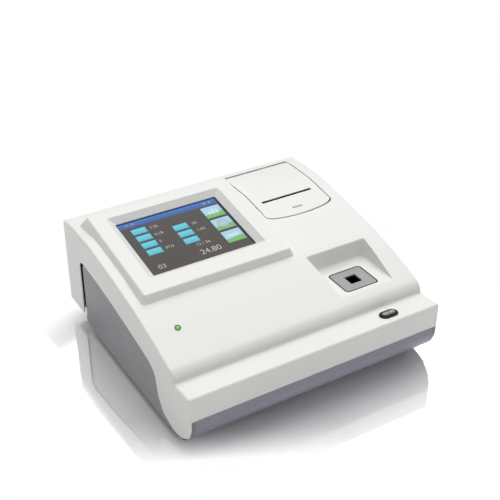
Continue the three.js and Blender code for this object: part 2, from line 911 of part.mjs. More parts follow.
function rearPanelPieces() {
  const side = halfWidth - wall - panelSideGap;
  const top = heightOn(topInside, panelBack) - gap;
  const bottom = trayRearHeight + baseWall + gap;
  const thickness = [panelFront, panelBack];
  const through = [panelFront - overrun, panelBack + overrun];
  const windows = Object.values(sockets).map(([centre, width, height]) =>
    block(around(centre, width + 2 * socketGap), through,
      [socketBottom - socketGap, socketBottom + height + socketGap]),
  );
  const vents = [];
  for (let i = 0; i < ventCount; i += 1) {
    const centre = -halfWidth + ventLeftMargin + i * ventPitch;
    vents.push(block(around(centre, ventWidth), through, [ventBottom, ventBottom + ventHeight]));
  }
  const screwHoles = panelScrewSpots().map(([x, z]) => rod(screwHole, [z, x], through, alongY));
  const panel = cut(block([-side, side], thickness, [bottom, top]), ...windows, ...vents, ...screwHoles);
  const meshes = [named("rear_panel", panel, greyPlastic)];
  panelScrewSpots().forEach(([x, z], i) => {
    const length = panelScrewLength + screwHeadHeight;
    const mesh = named("rear_screw_" + ["left", "right"][i], screw(length), steel);
    mesh.rotation.x = Math.PI / 2;
    mesh.position.set(x, panelBack + gap + screwHeadHeight, z);
    meshes.push(mesh);
  });
  return meshes;
}

function socketBody(name) {
  const [centre, width, height] = sockets[name];
  return block(around(centre, width), [socketBack - socketLength, socketBack],
    [socketBottom, socketBottom + height]);
}

function powerInlet() {
  const [centre, , height] = sockets.power_inlet;
  const axis = [socketBottom + height / 2, centre];
  const bore = rod(inletBoreRadius, axis, [socketBack - inletBoreDepth, socketBack + gap], alongY);
  const pin = rod(inletPinRadius, axis, [socketBack - inletBoreDepth - gap, socketBack - gap], alongY);
  return joined(cut(socketBody("power_inlet"), bore), pin);
}

// A nine-pin shell: a rim with sloping ends round a solid insert that sits deeper
function serialPort() {
  const [centre, , height] = sockets.serial_port;
  const middle = socketBottom + height / 2;
  const rim = (inset) => {
    const half = serialRimWidth / 2 - inset;
    const tall = serialRimHeight / 2 - inset;
    const slant = serialRimHeight / 4;
    return [
      [middle - tall, centre - half + slant], [middle - tall, centre + half - slant],
      [middle + tall, centre + half], [middle + tall, centre - half],
    ];
  };
  const flange = cut(
    socketBody("serial_port"),
    block(around(centre, serialWidth), [socketBack - serialRimDepth, socketBack + gap],
      [socketBottom, socketBottom + height]),
  );
  const shell = prism(rim(0), [socketBack - serialRimDepth - gap, socketBack], alongY);
  const hollow = prism(rim(serialRimWall), [socketBack - serialRimDepth / 2, socketBack + gap], alongY);
  return joined(flange, cut(shell, hollow));
}

function usbPort() {
  const [centre, , height] = sockets.usb_port;
  const middle = socketBottom + height / 2;
  const hollow = block(around(centre, usbHollowWidth), [socketBack - usbHollowDepth, socketBack + gap],
    around(middle, usbHollowHeight));
  const tongue = block(around(centre, usbTongueWidth),
    [socketBack - usbHollowDepth - gap, socketBack - gap], around(middle, usbTongueHeight));
  return joined(cut(socketBody("usb_port"), hollow), tongue);
}

// Display stack, in the screen frame

function display() {
  const group = new THREE.Group();
  group.applyMatrix4(screenMatrix());
  const panel = (width, height, top, thickness) =>
    block(around(0, width), around(0, height), [top - thickness, top]);
  const glassWidth = screenWidth + 2 * glassLap;
  const glassHeight = screenHeight + 2 * glassLap;
  group.add(named("touch_glass", panel(glassWidth, glassHeight, glassTop, glassThickness), glass));
  const moduleWidth = screenWidth + 2 * moduleLap;
  const moduleHeight = screenHeight + 2 * moduleLapAcross;
  const module = panel(moduleWidth, moduleHeight, moduleTop, moduleThickness);
  group.add(named("display_module", module, satinMetal));

  const reach = displayPostRadius;
  const bracketWidth = 2 * (postSpots[3][0] + reach);
  const bracketHeight = 2 * (postSpots[3][1] + reach);
  const window = panel(bracketWidth - 4 * bracketBand, bracketHeight - 4 * bracketBand, bracketTop + gap,
    bracketThickness + 2 * gap);
  const holes = postSpots.map((spot) =>
    rod(screwHole, spot, [bracketTop - bracketThickness - gap, bracketTop + gap], alongZ),
  );
  const bracket = cut(panel(bracketWidth, bracketHeight, bracketTop, bracketThickness), window, ...holes);
  group.add(named("display_bracket", bracket, steel));

  const places = ["front_left", "front_right", "rear_left", "rear_right"];
  const bottom = bracketTop - bracketThickness - gap - screwHeadHeight;
  postSpots.forEach((spot, i) => {
    const mesh = named("display_screw_" + places[i], screw(displayScrewTop - bottom), steel);
    mesh.position.set(spot[0], spot[1], bottom);
    group.add(mesh);
  });
  return group;
}

// Power button and its switch, in the ledge frame

function powerButton() {
  const group = new THREE.Group();
  group.applyMatrix4(buttonMatrix);
  const bore = prism(pillOutline(gap), [-ringDepth - gap, ringProud + gap], alongZ);
  const flange = prism(pillOutline(gap + ringBand), [gap, ringProud], alongZ);
  const sleeve = prism(pillOutline(gap + ringSleeveBand), [-ringDepth, gap + ringProud / 2], alongZ);
  group.add(named("button_ring", cut(joined(flange, sleeve), bore), darkPlastic));

  const cap = frustum(pillOutline(0), -buttonSink, pillOutline(-gap), buttonProud);
  const stem = block(around(0, stemWidth), around(0, stemWidth),
    [-buttonSink - stemLength, -buttonSink + gap]);
  group.add(named("power_button", joined(cap, stem), midPlastic));

  const body = block(around(0, switchWidth), around(0, switchWidth),
    [switchTop - switchHeight, switchTop - gap]);
  const plunger = rod(stemWidth / 2, [0, 0], [switchTop - 2 * gap, switchTop], alongZ);
  group.add(named("button_switch", joined(body, plunger), darkPlastic));
  const board = block(around(0, buttonBoardLength), around(0, buttonBoardDepth),
    [buttonBoardTop - smallBoardThickness, buttonBoardTop]);
  group.add(named("button_board", board, boardGreen));
  return group;
}

// Status light, in the frame of the slope

function statusLight() {
  const group = new THREE.Group();
  group.applyMatrix4(lightMatrix);
  const bore = lightLensRadius + gap;
  const sleeve = bore + lightRingBand / 2;
  const collar = bore + lightRingBand;
  const ring = [
    [bore, -wall], [sleeve, -wall], [sleeve, gap], [collar, gap], [collar, lightRingProud],
    [bore, lightRingProud], [bore, -wall],
  ];
  group.add(named("light_ring", turned(ring, 0, 0), darkPlastic));
  const dome = lightLensRadius * Math.SQRT1_2;
  const lens = [
    [0, -lightDepth], [lightLensRadius, -lightDepth], [lightLensRadius, 0],
    [dome, lightLensProud * Math.SQRT1_2], [0, lightLensProud],
  ];
  group.add(named("light_lens", turned(lens, 0, 0), greenLens));
  const board = block(around(0, lightBoardLength), around(0, lightBoardDepth),
    [lightBoardTop - smallBoardThickness, lightBoardTop]);
  group.add(named("light_board", board, boardGreen));
  return group;
}

// Printer: lid, frame, paper roll, platen and drive

const slabInside = insetLine(topLine, wall);
const frameTopLine = insetLine(topLine, wall + gap);
const frameRear = lidRearLine + seam;
const frameBottom = heightOn(topLine, lidRearLine) - frameDrop;
const rollLine = lidRearLine - rollSetback;
const rollHeight = topHeight(rollLine) - rollDrop;
const mechFront = frameFront + frameFrontWall;
const headFace = slotLine - slotOpening / 2 + webSpace;
const platenLine = headFace - webSpace - platenRadius;
const platenHeight = topHeight(platenLine) - platenDrop;
const mechRear = headFace + headThickness + gap + leafThickness + webSpace + gap;
const mechRight = lidCentre + platenLength / 2 + 2 * gap + frameWall;
const bearingRight = mechRight + frameWall;
const gearLeft = bearingRight + gap;
const gearVoidRight = lidCentre + lidWidth / 2 + seam;

function gearRadius(teeth) {
  return (gearModule * teeth) / 2;
}

function apart(from, angle, teethA, teethB) {
  const reach = gearRadius(teethA) + gearRadius(teethB);
  return [from[0] + reach * Math.cos(angle), from[1] + reach * Math.sin(angle)];
}

const platenAxis = [platenLine, platenHeight];
const idlerAxis = apart(platenAxis, idlerAngle, platenTeeth, idlerTeeth);
const pinionAxis = apart(idlerAxis, pinionAngle, idlerTeeth, pinionTeeth);

// A spur gear outline with involute flanks; one tooth is centred on the phase angle
function gearOutline(teeth, centre, phase) {
  const pitchRadius = gearRadius(teeth);
  const baseRadius = pitchRadius * Math.cos(Math.PI / 9);
  const tipRadius = pitchRadius + gearModule * 0.9;
  const rootRadius = pitchRadius - gearModule * 1.25;
  const involute = (radius) => {
    const turn = Math.acos(Math.min(baseRadius / radius, 1));
    return Math.tan(turn) - turn;
  };
  const halfTooth = (Math.PI * gearModule / 2 - gearBacklash) / (2 * pitchRadius) + involute(pitchRadius);
  const flankStart = Math.max(baseRadius, rootRadius + gearModule * 0.1);
  const points = [];
  for (let i = 0; i < teeth; i += 1) {
    const middle = phase + (2 * Math.PI * i) / teeth;
    const flank = [[rootRadius, halfTooth - involute(flankStart)]];
    for (let k = 0; k <= flankSteps; k += 1) {
      const radius = flankStart + ((tipRadius - flankStart) * k) / flankSteps;
      flank.push([radius, halfTooth - involute(radius)]);
    }
    const rising = flank.map(([radius, angle]) => [radius, middle - angle]);
    const falling = flank.map(([radius, angle]) => [radius, middle + angle]).reverse();
    points.push(...rising, ...falling);
  }
  return points.map(([radius, angle]) => [
    centre[0] + radius * Math.cos(angle),
    centre[1] + radius * Math.sin(angle),
  ]);
}

function gear(teeth, axis, phase, boreRadius, basisSpan) {
  return cut(
    prism(gearOutline(teeth, axis, phase), basisSpan, alongX),
    rod(boreRadius, axis, [basisSpan[0] - gap, basisSpan[1] + gap], alongX),
  );
}

function printerLid() {
  const slab = [
    ...topLine,
    ...insetLine(topLine, wall).reverse(),
  ];
  const across = [lidCentre - lidWidth / 2, lidCentre + lidWidth / 2];
  const sheet = prism(slab, across, alongX).intersect(
    prism(lidOutline(0), [crownHeight - overrun, crownHeight + overrun], alongZ),
  );
  const plate = cut(sheet, block(across, [barrelLine, bodyDepth], [0, crownHeight + overrun]));
  const barrel = rod(barrelRadius, [barrelLine, barrelHeight], across, alongX);
  const web = block(across, [barrelLine - barrelRadius, barrelLine],
    [barrelHeight, heightOn(slabInside, barrelLine) + wall / 2]);
  const slot = block(around(lidCentre, slotWidth), around(slotLine, slotOpening),
    [0, crownHeight + overrun]);
  const bore = rod(hingeRodRadius + gap, [barrelLine, barrelHeight],
    [across[0] - gap, across[1] + gap], alongX);
  const latchLine = mechFront + lidBow / 2 + latchThickness;
  const latch = block(around(lidCentre, latchWidth), [latchLine, latchLine + latchThickness],
    [topHeight(latchLine) - wall - latchDrop, topHeight(latchLine) - wall / 2]);
  return cut(joined(plate, barrel, web, latch), slot, bore);
}

function printerFrame() {
  const half = lidWidth / 2 + seam + cheekThickness;
  const whole = [lidCentre - half, lidCentre + half];
  const under = [...frameTopLine, [bodyDepth, 0], [0, 0]];
  const body = prism(under, whole, alongX).intersect(
    block(whole, [frameFront, frameRear], [frameBottom, crownHeight]),
  );
  const floor = frameBottom + frameWall;
  const high = crownHeight + overrun;
  const betweenCheeks = [whole[0] + cheekThickness, whole[1] - cheekThickness];
  const bayHalf = rollWidth / 2 + rollSideSpace + gap;
  const bayAcross = [lidCentre - bayHalf, lidCentre + bayHalf];
  const bayY = [mechRear + frameWall, barrelLine - barrelRadius - gap];
  const bay = block(bayAcross, bayY, [floor, high]);
  const leftPocket = block([betweenCheeks[0], bayAcross[0] - frameWall], bayY, [floor, high]);
  const rightPocket = block([bayAcross[1] + frameWall, betweenCheeks[1]], bayY, [floor, high]);
  const mech = block([betweenCheeks[0], mechRight], [mechFront, mechRear], [floor, high]);
  const gearRoom = block([bearingRight, gearVoidRight], [mechFront, mechRear], [floor, high]);
  const barrelRoom = block(
    betweenCheeks,
    [bayY[1] - gap, frameRear + overrun],
    [barrelHeight - barrelRadius - 2 * gap, high],
  );
  const rodSlot = block([whole[0] - overrun, whole[1] + overrun],
    around(barrelLine, 2 * (hingeRodRadius + gap)), [barrelHeight - hingeRodRadius - gap, high]);
  const notch = block([bayAcross[0] - frameWall - gap, bayAcross[1] + frameWall + gap],
    around(rollLine, 2 * (spindleRadius + gap)), [rollHeight, high]);
  const notchRound = rod(spindleRadius + gap, [rollLine, rollHeight],
    [bayAcross[0] - frameWall - gap, bayAcross[1] + frameWall + gap], alongX);
  const bearings = rod(platenShaftRadius + gap, platenAxis, [whole[0] - gap, bearingRight + gap], alongX);
  const motorHole = rod(motorShaftRadius + gap, pinionAxis, [mechRight - gap, bearingRight + gap], alongX);
  const idlerPost = rod(platenShaftRadius, idlerAxis,
    [bearingRight - frameWall / 2, gearLeft + gearWidth + gap], alongX);
  const rooms = [bay, leftPocket, rightPocket, mech, gearRoom, barrelRoom];
  const holes = [rodSlot, notch, notchRound, bearings, motorHole];
  return joined(cut(body, ...rooms, ...holes), idlerPost);
}

function printer() {
  const group = new THREE.Group();
  const half = lidWidth / 2 + seam + cheekThickness;
  group.add(named("printer_lid", printerLid(), whitePlastic));
  group.add(named("lid_hinge_rod",
    rod(hingeRodRadius, [barrelLine, barrelHeight], [lidCentre - half, lidCentre + half], alongX), steel));
  group.add(named("printer_frame", printerFrame(), darkPlastic));

  const headTop = platenHeight + headHeight / 2;
  const head = block(around(lidCentre, headLength), [headFace, headFace + headThickness],
    [headTop - headHeight, headTop]);
  group.add(named("print_head", head, satinMetal));
  const leafFront = headFace + headThickness + gap;
  const leaf = block(around(lidCentre, leafWidth), [leafFront, leafFront + leafThickness],
    [headTop - headHeight, headTop]);
  const leafFoot = block(around(lidCentre, leafWidth), [leafFront, mechRear - gap],
    [headTop - headHeight, headTop - headHeight + leafFootHeight]);
  group.add(named("head_spring", joined(leaf, leafFoot), steel));

  const rubberSleeve = rod(platenRadius, platenAxis, around(lidCentre, platenLength), alongX);
  const shaft = rod(platenShaftRadius, platenAxis,
    [lidCentre - half + gap, gearLeft + gearWidth + gap], alongX);
  group.add(named("platen_roller", joined(rubberSleeve, shaft), rubber));
  const gearSpan = [gearLeft, gearLeft + gearWidth];
  const platenGear = gear(platenTeeth, platenAxis, idlerAngle, platenShaftRadius + gap, gearSpan);
  group.add(named("platen_gear", platenGear, naturalPlastic));
  const idlerPhase = idlerAngle + Math.PI + Math.PI / idlerTeeth;
  const idler = gear(idlerTeeth, idlerAxis, idlerPhase, platenShaftRadius + gap, gearSpan);
  group.add(named("idler_gear", idler, naturalPlastic));
  const slip = idlerPhase - pinionAngle;
  const pinionPhase = pinionAngle + Math.PI - (slip * idlerTeeth) / pinionTeeth + Math.PI / pinionTeeth;
  const pinionTeethBody = prism(gearOutline(pinionTeeth, pinionAxis, pinionPhase), gearSpan, alongX);
  const motorFace = mechRight - gap;
  const motorSpan = [motorFace - motorLength, motorFace];
  const pinionShaft = rod(motorShaftRadius, pinionAxis, [motorFace - motorLength / 2, gearSpan[1]], alongX);
  group.add(named("motor_pinion", joined(pinionTeethBody, pinionShaft), brass));
  const motor = cut(
    rod(motorRadius, pinionAxis, motorSpan, alongX),
    rod(motorShaftRadius + gap, pinionAxis, [motorFace - motorLength / 2 - gap, motorFace + gap], alongX),
  );
  group.add(named("printer_motor", motor, steel));

  const rollAxis = [rollLine, rollHeight];
  const spindleHalf = rollWidth / 2 + rollSideSpace + frameWall;
  group.add(named("paper_spindle",
    rod(spindleRadius, rollAxis, [lidCentre - spindleHalf, lidCentre + spindleHalf], alongX), midPlastic));
  const roll = cut(
    rod(rollRadius, rollAxis, around(lidCentre, rollWidth), alongX),
    rod(spindleRadius + gap, rollAxis, around(lidCentre, rollWidth + 2 * gap), alongX),
  );
  group.add(named("paper_roll", roll, paper));
  return group;
}

// Cuvette well: plate, heated block, optics at a right angle and the stirrer below

const blockTop = wellFloorHeight - wall - gap;
const blockBottom = blockTop - blockHeight;
const portLine = blockBottom + portHeight;
const chassisTop = blockBottom - gap;
const chassisBottom = chassisTop - chassisThickness;
const trayFloor = footHeight + baseWall;

function lens(radius) {
  const profile = [
    [0, 0], [radius, 0], [radius, lensThickness / 2], [radius / 2, lensThickness], [0, lensThickness],
  ];
  return turned(profile, 0, 0);
}

function sampleWell() {
  const group = new THREE.Group();
  const blockX = around(plateCentre, blockWidth);
  const blockY = around(plateCentreLine, blockDepth);
  const square = roundedOutline(around(plateCentre, cuvetteBore), around(plateCentreLine, cuvetteBore),
    gap);
  const plateBottom = blockTop + gap;
  const plateTop = wellFloorHeight - plateSink;
  const plate = cut(
    prism(plateOutline(0), [plateBottom, plateTop], alongZ),
    prism(square, [plateBottom - gap, plateTop + gap], alongZ),
  );
  group.add(named("well_plate", plate, satinMetal));

  const sourcePort = rod(portRadius, [plateCentreLine, portLine], [blockX[0] - gap, plateCentre], alongX);
  const detectorPort = rod(portRadius, [portLine, plateCentre], [plateCentreLine, blockY[1] + gap], alongY);
  const body = cut(
    block(blockX, blockY, [blockBottom, blockTop]),
    prism(square, [blockTop - boreDepth, blockTop + gap], alongZ),
    sourcePort,
    detectorPort,
  );
  group.add(named("cuvette_block", body, blackMetal));
  group.add(named("heater_pad", block(around(plateCentre, heaterWidth),
    [blockY[0] - gap - heaterThickness, blockY[0] - gap], around(portLine, heaterHeight)), heaterFilm));

  const source = block([blockX[0] - gap - sourceLength, blockX[0] - gap],
    around(plateCentreLine, opticsWidth), around(portLine, opticsWidth));
  group.add(named("light_source", source, satinMetal));
  const detector = block(around(plateCentre, opticsWidth),
    [blockY[1] + gap, blockY[1] + gap + detectorLength], around(portLine, opticsWidth));
  group.add(named("scatter_detector", detector, darkPlastic));
  const sourceLens = named("source_lens", lens(portRadius - gap), clearLens);
  sourceLens.rotation.y = Math.PI / 2;
  sourceLens.position.set(blockX[0] + lensInset, plateCentreLine, portLine);
  const detectorLens = named("detector_lens", lens(portRadius - gap), clearLens);
  detectorLens.rotation.x = Math.PI / 2;
  detectorLens.position.set(plateCentre, blockY[1] - lensInset, portLine);
  group.add(sourceLens, detectorLens);

  const chassisX = around(plateCentre, chassisWidth);
  const chassisY = around(plateCentreLine + chassisOffset, chassisDepth);
  const legs = [];
  for (const x of [chassisX[0], chassisX[1] - chassisLeg]) {
    for (const y of [chassisY[0], chassisY[1] - chassisLeg]) {
      const tall = [trayFloor + gap, chassisBottom + gap];
      legs.push(block([x, x + chassisLeg], [y, y + chassisLeg], tall));
    }
  }
  const stirAxis = [plateCentre, plateCentreLine];
  const chassis = cut(
    joined(block(chassisX, chassisY, [chassisBottom, chassisTop]), ...legs),
    rod(stirRotorRadius + stirSpace, stirAxis, [chassisBottom - gap, chassisTop + gap], alongZ),
  );
  group.add(named("optics_chassis", chassis, satinMetal));

  const motorTop = chassisBottom - gap;
  const stirMotor = cut(
    rod(stirMotorRadius, stirAxis, [trayFloor + gap, motorTop], alongZ),
    rod(stirMotorShaftRadius + gap, stirAxis, [motorTop - stirShaftLength, motorTop + gap], alongZ),
  );
  group.add(named("stir_motor", stirMotor, steel));
  const rotorTop = chassisTop - gap;
  const rotorBottom = rotorTop - stirRotorThickness;
  const barHeight = [rotorBottom, rotorTop];
  const bar = rod(stirRotorRadius, stirAxis, barHeight, alongZ).intersect(
    block(around(plateCentre, 2 * stirRotorRadius), around(plateCentreLine, stirBarWidth), barHeight),
  );
  const shaftHeight = [motorTop - stirShaftLength + gap, rotorBottom + gap];
  const shaft = rod(stirMotorShaftRadius, stirAxis, shaftHeight, alongZ);
  group.add(named("stir_rotor", joined(bar, shaft), steel));
  return group;
}

// Circuit boards, the parts on them and the display cable

function boardSlab(board) {
  const { x, y } = boardSpan(board);
  return block(x, y, [board[4], board[4] + boardThickness]);
}

function screenHeightAt(y, depth) {
  const centre = topHeight(screenLine) + platformRise;
  return centre + (y - screenLine) * Math.tan(screenTilt) - depth / Math.cos(screenTilt);
}

function displayCable(boardTop) {
  const line = screenLine - cableSetback;
  const top = screenHeightAt(line, -moduleTop + moduleThickness) - 2 * gap;
  const bottom = boardTop + gap;
  const curve = new THREE.SplineCurve([
    new THREE.Vector2(line, top),
    new THREE.Vector2(line, top - cableSlack),
    new THREE.Vector2(line - cableSlack, (top + bottom) / 2),
    new THREE.Vector2(line, bottom + cableSlack),
    new THREE.Vector2(line, bottom),
  ]);
  const middle = curve.getPoints(cableSteps).map((point) => [point.x, point.y]);
  const near = insetLine(middle, cableThickness / 2);
  const far = insetLine(middle, -cableThickness / 2);
  return prism([...near, ...far.reverse()], around(screenCentre, cableWidth), alongX);
}

function electronics() {
  const group = new THREE.Group();
  const top = boardHeight + boardThickness;
  const main = boardSpan(boards.main);
  const shield = block([main.x[0] + 2 * boardPostInset, main.x[0] + 2 * boardPostInset + shieldSize],
    [main.y[0] + 2 * boardPostInset, main.y[0] + 2 * boardPostInset + shieldSize],
    [top - gap, top + shieldHeight]);
  const header = block([main.x[1] - 2 * boardPostInset - headerLength, main.x[1] - 2 * boardPostInset],
    [main.y[0] + boardPostInset, main.y[0] + boardPostInset + headerWidth],
    [top - gap, top + headerHeight]);
  group.add(named("main_board", joined(boardSlab(boards.main), shield, header), boardGreen));

  const power = boardSpan(boards.power);
  const transformer = block([power.x[0] + boardPostInset, power.x[0] + boardPostInset + transformerWidth],
    around((power.y[0] + power.y[1]) / 2, transformerDepth), [top - gap, top + transformerHeight]);
  const capacitor = rod(capacitorRadius, [power.x[1] - 2 * boardPostInset - capacitorRadius,
    (power.y[0] + power.y[1]) / 2], [top - gap, top + capacitorHeight], alongZ);
  group.add(named("power_board", joined(boardSlab(boards.power), transformer, capacitor), boardGreen));
  group.add(named("io_board", boardSlab(boards.io), boardGreen));
  group.add(named("power_inlet", powerInlet(), darkPlastic));
  group.add(named("serial_port", serialPort(), satinMetal));
  group.add(named("usb_port", usbPort(), satinMetal));

  const partLine = main.y[1] - 2 * boardPostInset - batteryRadius;
  const buzzerSpot = [main.x[0] + 2 * boardPostInset + buzzerRadius, partLine];
  group.add(named("buzzer", rod(buzzerRadius, buzzerSpot, [top + gap, top + gap + buzzerHeight], alongZ),
    darkPlastic));
  const batterySpot = [main.x[1] - 2 * boardPostInset - batteryRadius, partLine];
  group.add(named("backup_battery",
    rod(batteryRadius, batterySpot, [top + gap, top + gap + batteryHeight], alongZ), steel));
  group.add(named("display_cable", displayCable(top), darkPlastic));
  return group;
}

// The whole analyzer, standing on its feet with the origin at the middle of its footprint

const analyzer = new THREE.Group();
const assembly = new THREE.Group();
assembly.position.set(0, -bodyDepth / 2, 0);
assembly.add(housing(), display(), powerButton(), statusLight(), printer(), sampleWell(), electronics());
analyzer.add(assembly);

export default analyzer;
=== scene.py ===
import json
import math

import bmesh
import bpy
import numpy as np
from mathutils import Matrix, Vector


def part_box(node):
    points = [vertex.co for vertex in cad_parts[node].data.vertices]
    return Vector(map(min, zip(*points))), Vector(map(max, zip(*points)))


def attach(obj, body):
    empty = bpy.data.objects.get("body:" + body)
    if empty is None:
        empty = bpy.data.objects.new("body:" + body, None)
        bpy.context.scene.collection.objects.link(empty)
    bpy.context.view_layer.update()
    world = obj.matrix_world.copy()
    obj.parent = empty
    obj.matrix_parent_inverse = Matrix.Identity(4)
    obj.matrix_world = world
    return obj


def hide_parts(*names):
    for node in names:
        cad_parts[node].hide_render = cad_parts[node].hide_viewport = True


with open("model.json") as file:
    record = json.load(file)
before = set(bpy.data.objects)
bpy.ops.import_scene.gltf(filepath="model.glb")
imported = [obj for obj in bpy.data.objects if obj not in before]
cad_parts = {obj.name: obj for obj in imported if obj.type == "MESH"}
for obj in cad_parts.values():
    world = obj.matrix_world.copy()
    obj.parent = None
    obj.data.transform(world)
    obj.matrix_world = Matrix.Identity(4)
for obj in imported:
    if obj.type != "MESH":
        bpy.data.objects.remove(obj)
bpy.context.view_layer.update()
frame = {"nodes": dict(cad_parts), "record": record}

MM = 0.001

# Case
WALL = 2.5 * MM
EDGE_ROUND = 2.4 * MM
PLATE_ROUND = 0.5 * MM
FRONT_TOP_ROUND = 2.6 * MM
LEDGE_REAR_ROUND = 2.5 * MM
REAR_TOP_ROUND = 4 * MM
LEG_ROUND = 1.5 * MM
ARCH_ROUND = 8 * MM
REACH = 20 * MM
STRIP = 8 * MM
FACE_BOTTOM = 40.9 * MM
BOSS_SPLIT = 18.3 * MM
LEG_TOP = 30 * MM
ARCH_STEPS_HEIGHT = 75 * MM

# Side arch: its thin lip and the raised field of the panel that fills it
ARCH_LIP = 0.8 * MM
ARCH_REBATE = 2.8 * MM
FIELD_RAISE = 1.8 * MM
FIELD_GAP = 1.0 * MM
FIELD_REAR_GAP = 4.2 * MM
FIELD_GAP_RUN = 26 * MM
FIELD_START = 9 * MM
PANEL_ROUND = 0.6 * MM

# Screen platform, in its own tilted frame
SCREEN_WIDTH = 115 * MM
SCREEN_HEIGHT = 86 * MM
PLATFORM_SIDE = 23 * MM
PLATFORM_FRONT = 26.3 * MM
PLATFORM_REAR = 18.2 * MM
PLATFORM_SKIRT = 14 * MM
PLATFORM_DRAFT = 0.55
PLATFORM_CORNER = 2.4 * MM
PLATFORM_CORNER_SPREAD = 0.35
PLATFORM_ROUND = 2 * MM
RECESS_DEPTH = 5 * MM
RECESS_FLARE = 7 * MM
RECESS_CORNER = 1.4 * MM
RECESS_ROUND = 1 * MM
LIP = 1 * MM
GLASS_GAP = 0.3 * MM
GLASS_THICKNESS = 1.2 * MM
DISPLAY_POST = 3.5 * MM
DISPLAY_POST_SPOT = (74.8 * MM, 54.8 * MM)
DISPLAY_POST_FOOT = -15.8 * MM
DISPLAY_SCREW_TOP = -7.8 * MM
DISPLAY_RIM = (140 * MM, 100 * MM, 1.5 * MM)
DISPLAY_WINDOW = (118 * MM, 89 * MM, 1 * MM)
DISPLAY_TRAY = (138 * MM, 98 * MM, 2 * MM)
DISPLAY_BOARD = (60 * MM, 40 * MM)

# Sample recess
WELL_DRAFT = 0.25
WELL_CORNER = 2.2 * MM
WELL_ROUND = 1.2 * MM
WELL_FLOOR_ROUND = 2.2 * MM
WELL_WIDTH = 63 * MM
WELL_REAR = 97 * MM
WELL_PLATE_INSET = 29.3 * MM
PLATE_SINK = 0.1 * MM
PLATE_CORNER = 2.6 * MM
PLATE_GAP = 1.6 * MM
CUVETTE_BORE = 12.8 * MM
BORE_LINE = 66.2 * MM

# Printer lid and its seams
LID_SEAM = 0.7 * MM
LID_FRONT_SEAM = 1.5 * MM
LID_ROUND = 0.5 * MM
LID_BOW = 5.5 * MM
LID_CORNER = 4 * MM
LID_CORNER_POWER = 12
SLOT_WIDTH = 62.4 * MM
SLOT_OPENING = 3.1 * MM
SLOT_LINE = 193.5 * MM
SLOT_LIP = 0.6 * MM
SLOT_UNDERCUT = 2.2 * MM
REAR_GROOVE = 3.2 * MM
REAR_GROOVE_DEPTH = 4 * MM
REAR_GROOVE_OVERSHOOT = 3.5 * MM
GRIP_LINE = 172.5 * MM
GRIP_WIDTH = 12 * MM
GRIP_BREADTH = 1.8 * MM
GRIP_RAISE = 0.35 * MM

# Power button and status light, in the frames of the ledge and of the slope
BUTTON_LENGTH = 16 * MM
BUTTON_BREADTH = 7.8 * MM
BUTTON_PROUD = 2.2 * MM
BUTTON_SINK = 3.5 * MM
STEM_WIDTH = 3 * MM
STEM_LENGTH = 3.5 * MM
RING_BAND = 1.9 * MM
RING_SLEEVE = 1 * MM
RING_PROUD = 1.2 * MM
RING_DEPTH = 5 * MM
FIT = 0.3 * MM
LIGHT_BOARD_DEPTH = 8.3 * MM
LIGHT_LENS = 1.9 * MM
LIGHT_RING_BAND = 1 * MM
LIGHT_RING_PROUD = 0.6 * MM

# Base, feet and screws
FOOT_RADIUS = 9 * MM
FOOT_TOP = 3.7 * MM
FOOT_PLUG = 2.5 * MM
FOOT_PLUG_LENGTH = 4.5 * MM
TRAY_FLOOR = 6.5 * MM
SCREW_HEAD = 2.8 * MM
SCREW_HEAD_HEIGHT = 2 * MM
SCREW_DOME = 0.9 * MM
SCREW_CROSS_LENGTH = 3.4 * MM
SCREW_SHANK = 1.5 * MM
SCREW_PITCH = 0.8 * MM
SCREW_THREAD = 0.22 * MM
SCREW_CROSS = 0.7 * MM
SCREW_CROSS_DEPTH = 1.2 * MM

# Printer
PLATEN_LENGTH = 58 * MM
PLATEN_RADIUS = 5.4 * MM
PLATEN_SHAFT = 2 * MM
HINGE_ROD = 1 * MM
ROLL_RADIUS = 20 * MM
ROLL_CORE = 7.4 * MM
ROLL_BORE = 5.8 * MM
ROLL_SHEET = 0.22 * MM
ROLL_ROUNDS = 22.0

# Inside the case; what stands on a board is given in mm, by its middle and its size or by its four sides
BOARD = 1.6 * MM
BOARD_HOLE = 1.6 * MM
BOARD_INSET = 4 * MM
HOLE_INSET = 2.6 * MM
LEG_PITCH = 1.27 * MM
CHIPS = [
    (-42, -40, 15, 15), (-42, -16, 10, 7), (-21, -32, 8, 12), (5, -34, 12, 8), (-84, 3, 12, 6),
    (-76, 33, 16, 7), (-20, 34, 9, 9),
]
CANS = [(-14, -10), (-4, -10), (6, -10), (22, 0), (22, 12), (-110, 0)]
POWER_CHIPS = [(60, 46, 14, 6), (84, 46, 8, 8), (100, 46, 10, 5)]
POWER_CANS = [(52, -5), (62, -5), (72, -5), (112, 44)]
DISPLAY_CHIPS = [(-30, 10, 14, 14), (0, 12, 10, 6), (28, -10, 16, 8), (-20, -20, 9, 5), (40, 20, 8, 8)]
SINK_SIDE = 42 * MM
SINK_INSET = 12 * MM
SINK_FIN = 1 * MM
SINK_FINS = 14
PLUG_ENDS = (-14 * MM, 16 * MM)
TALL_PARTS = [
    (-108, -62, -54, -8), (-62, -26, 12, 28), (-108, -92, 15, 32), (-8, 18, 11, 36), (-18, 20, -60, -50),
]
POWER_PARTS = [(48, 116, -12, 38), (50, 116, 40, 53)]
COIL_ROUNDS = 11
LARGE_CAN_SPOT = (100 * MM, 21.5 * MM)
PRINT_LINE = 92.9 * MM
SENSOR_LINE = 48 * MM
LENS_RADIUS = 3.2 * MM
SPINDLE = 5.5 * MM

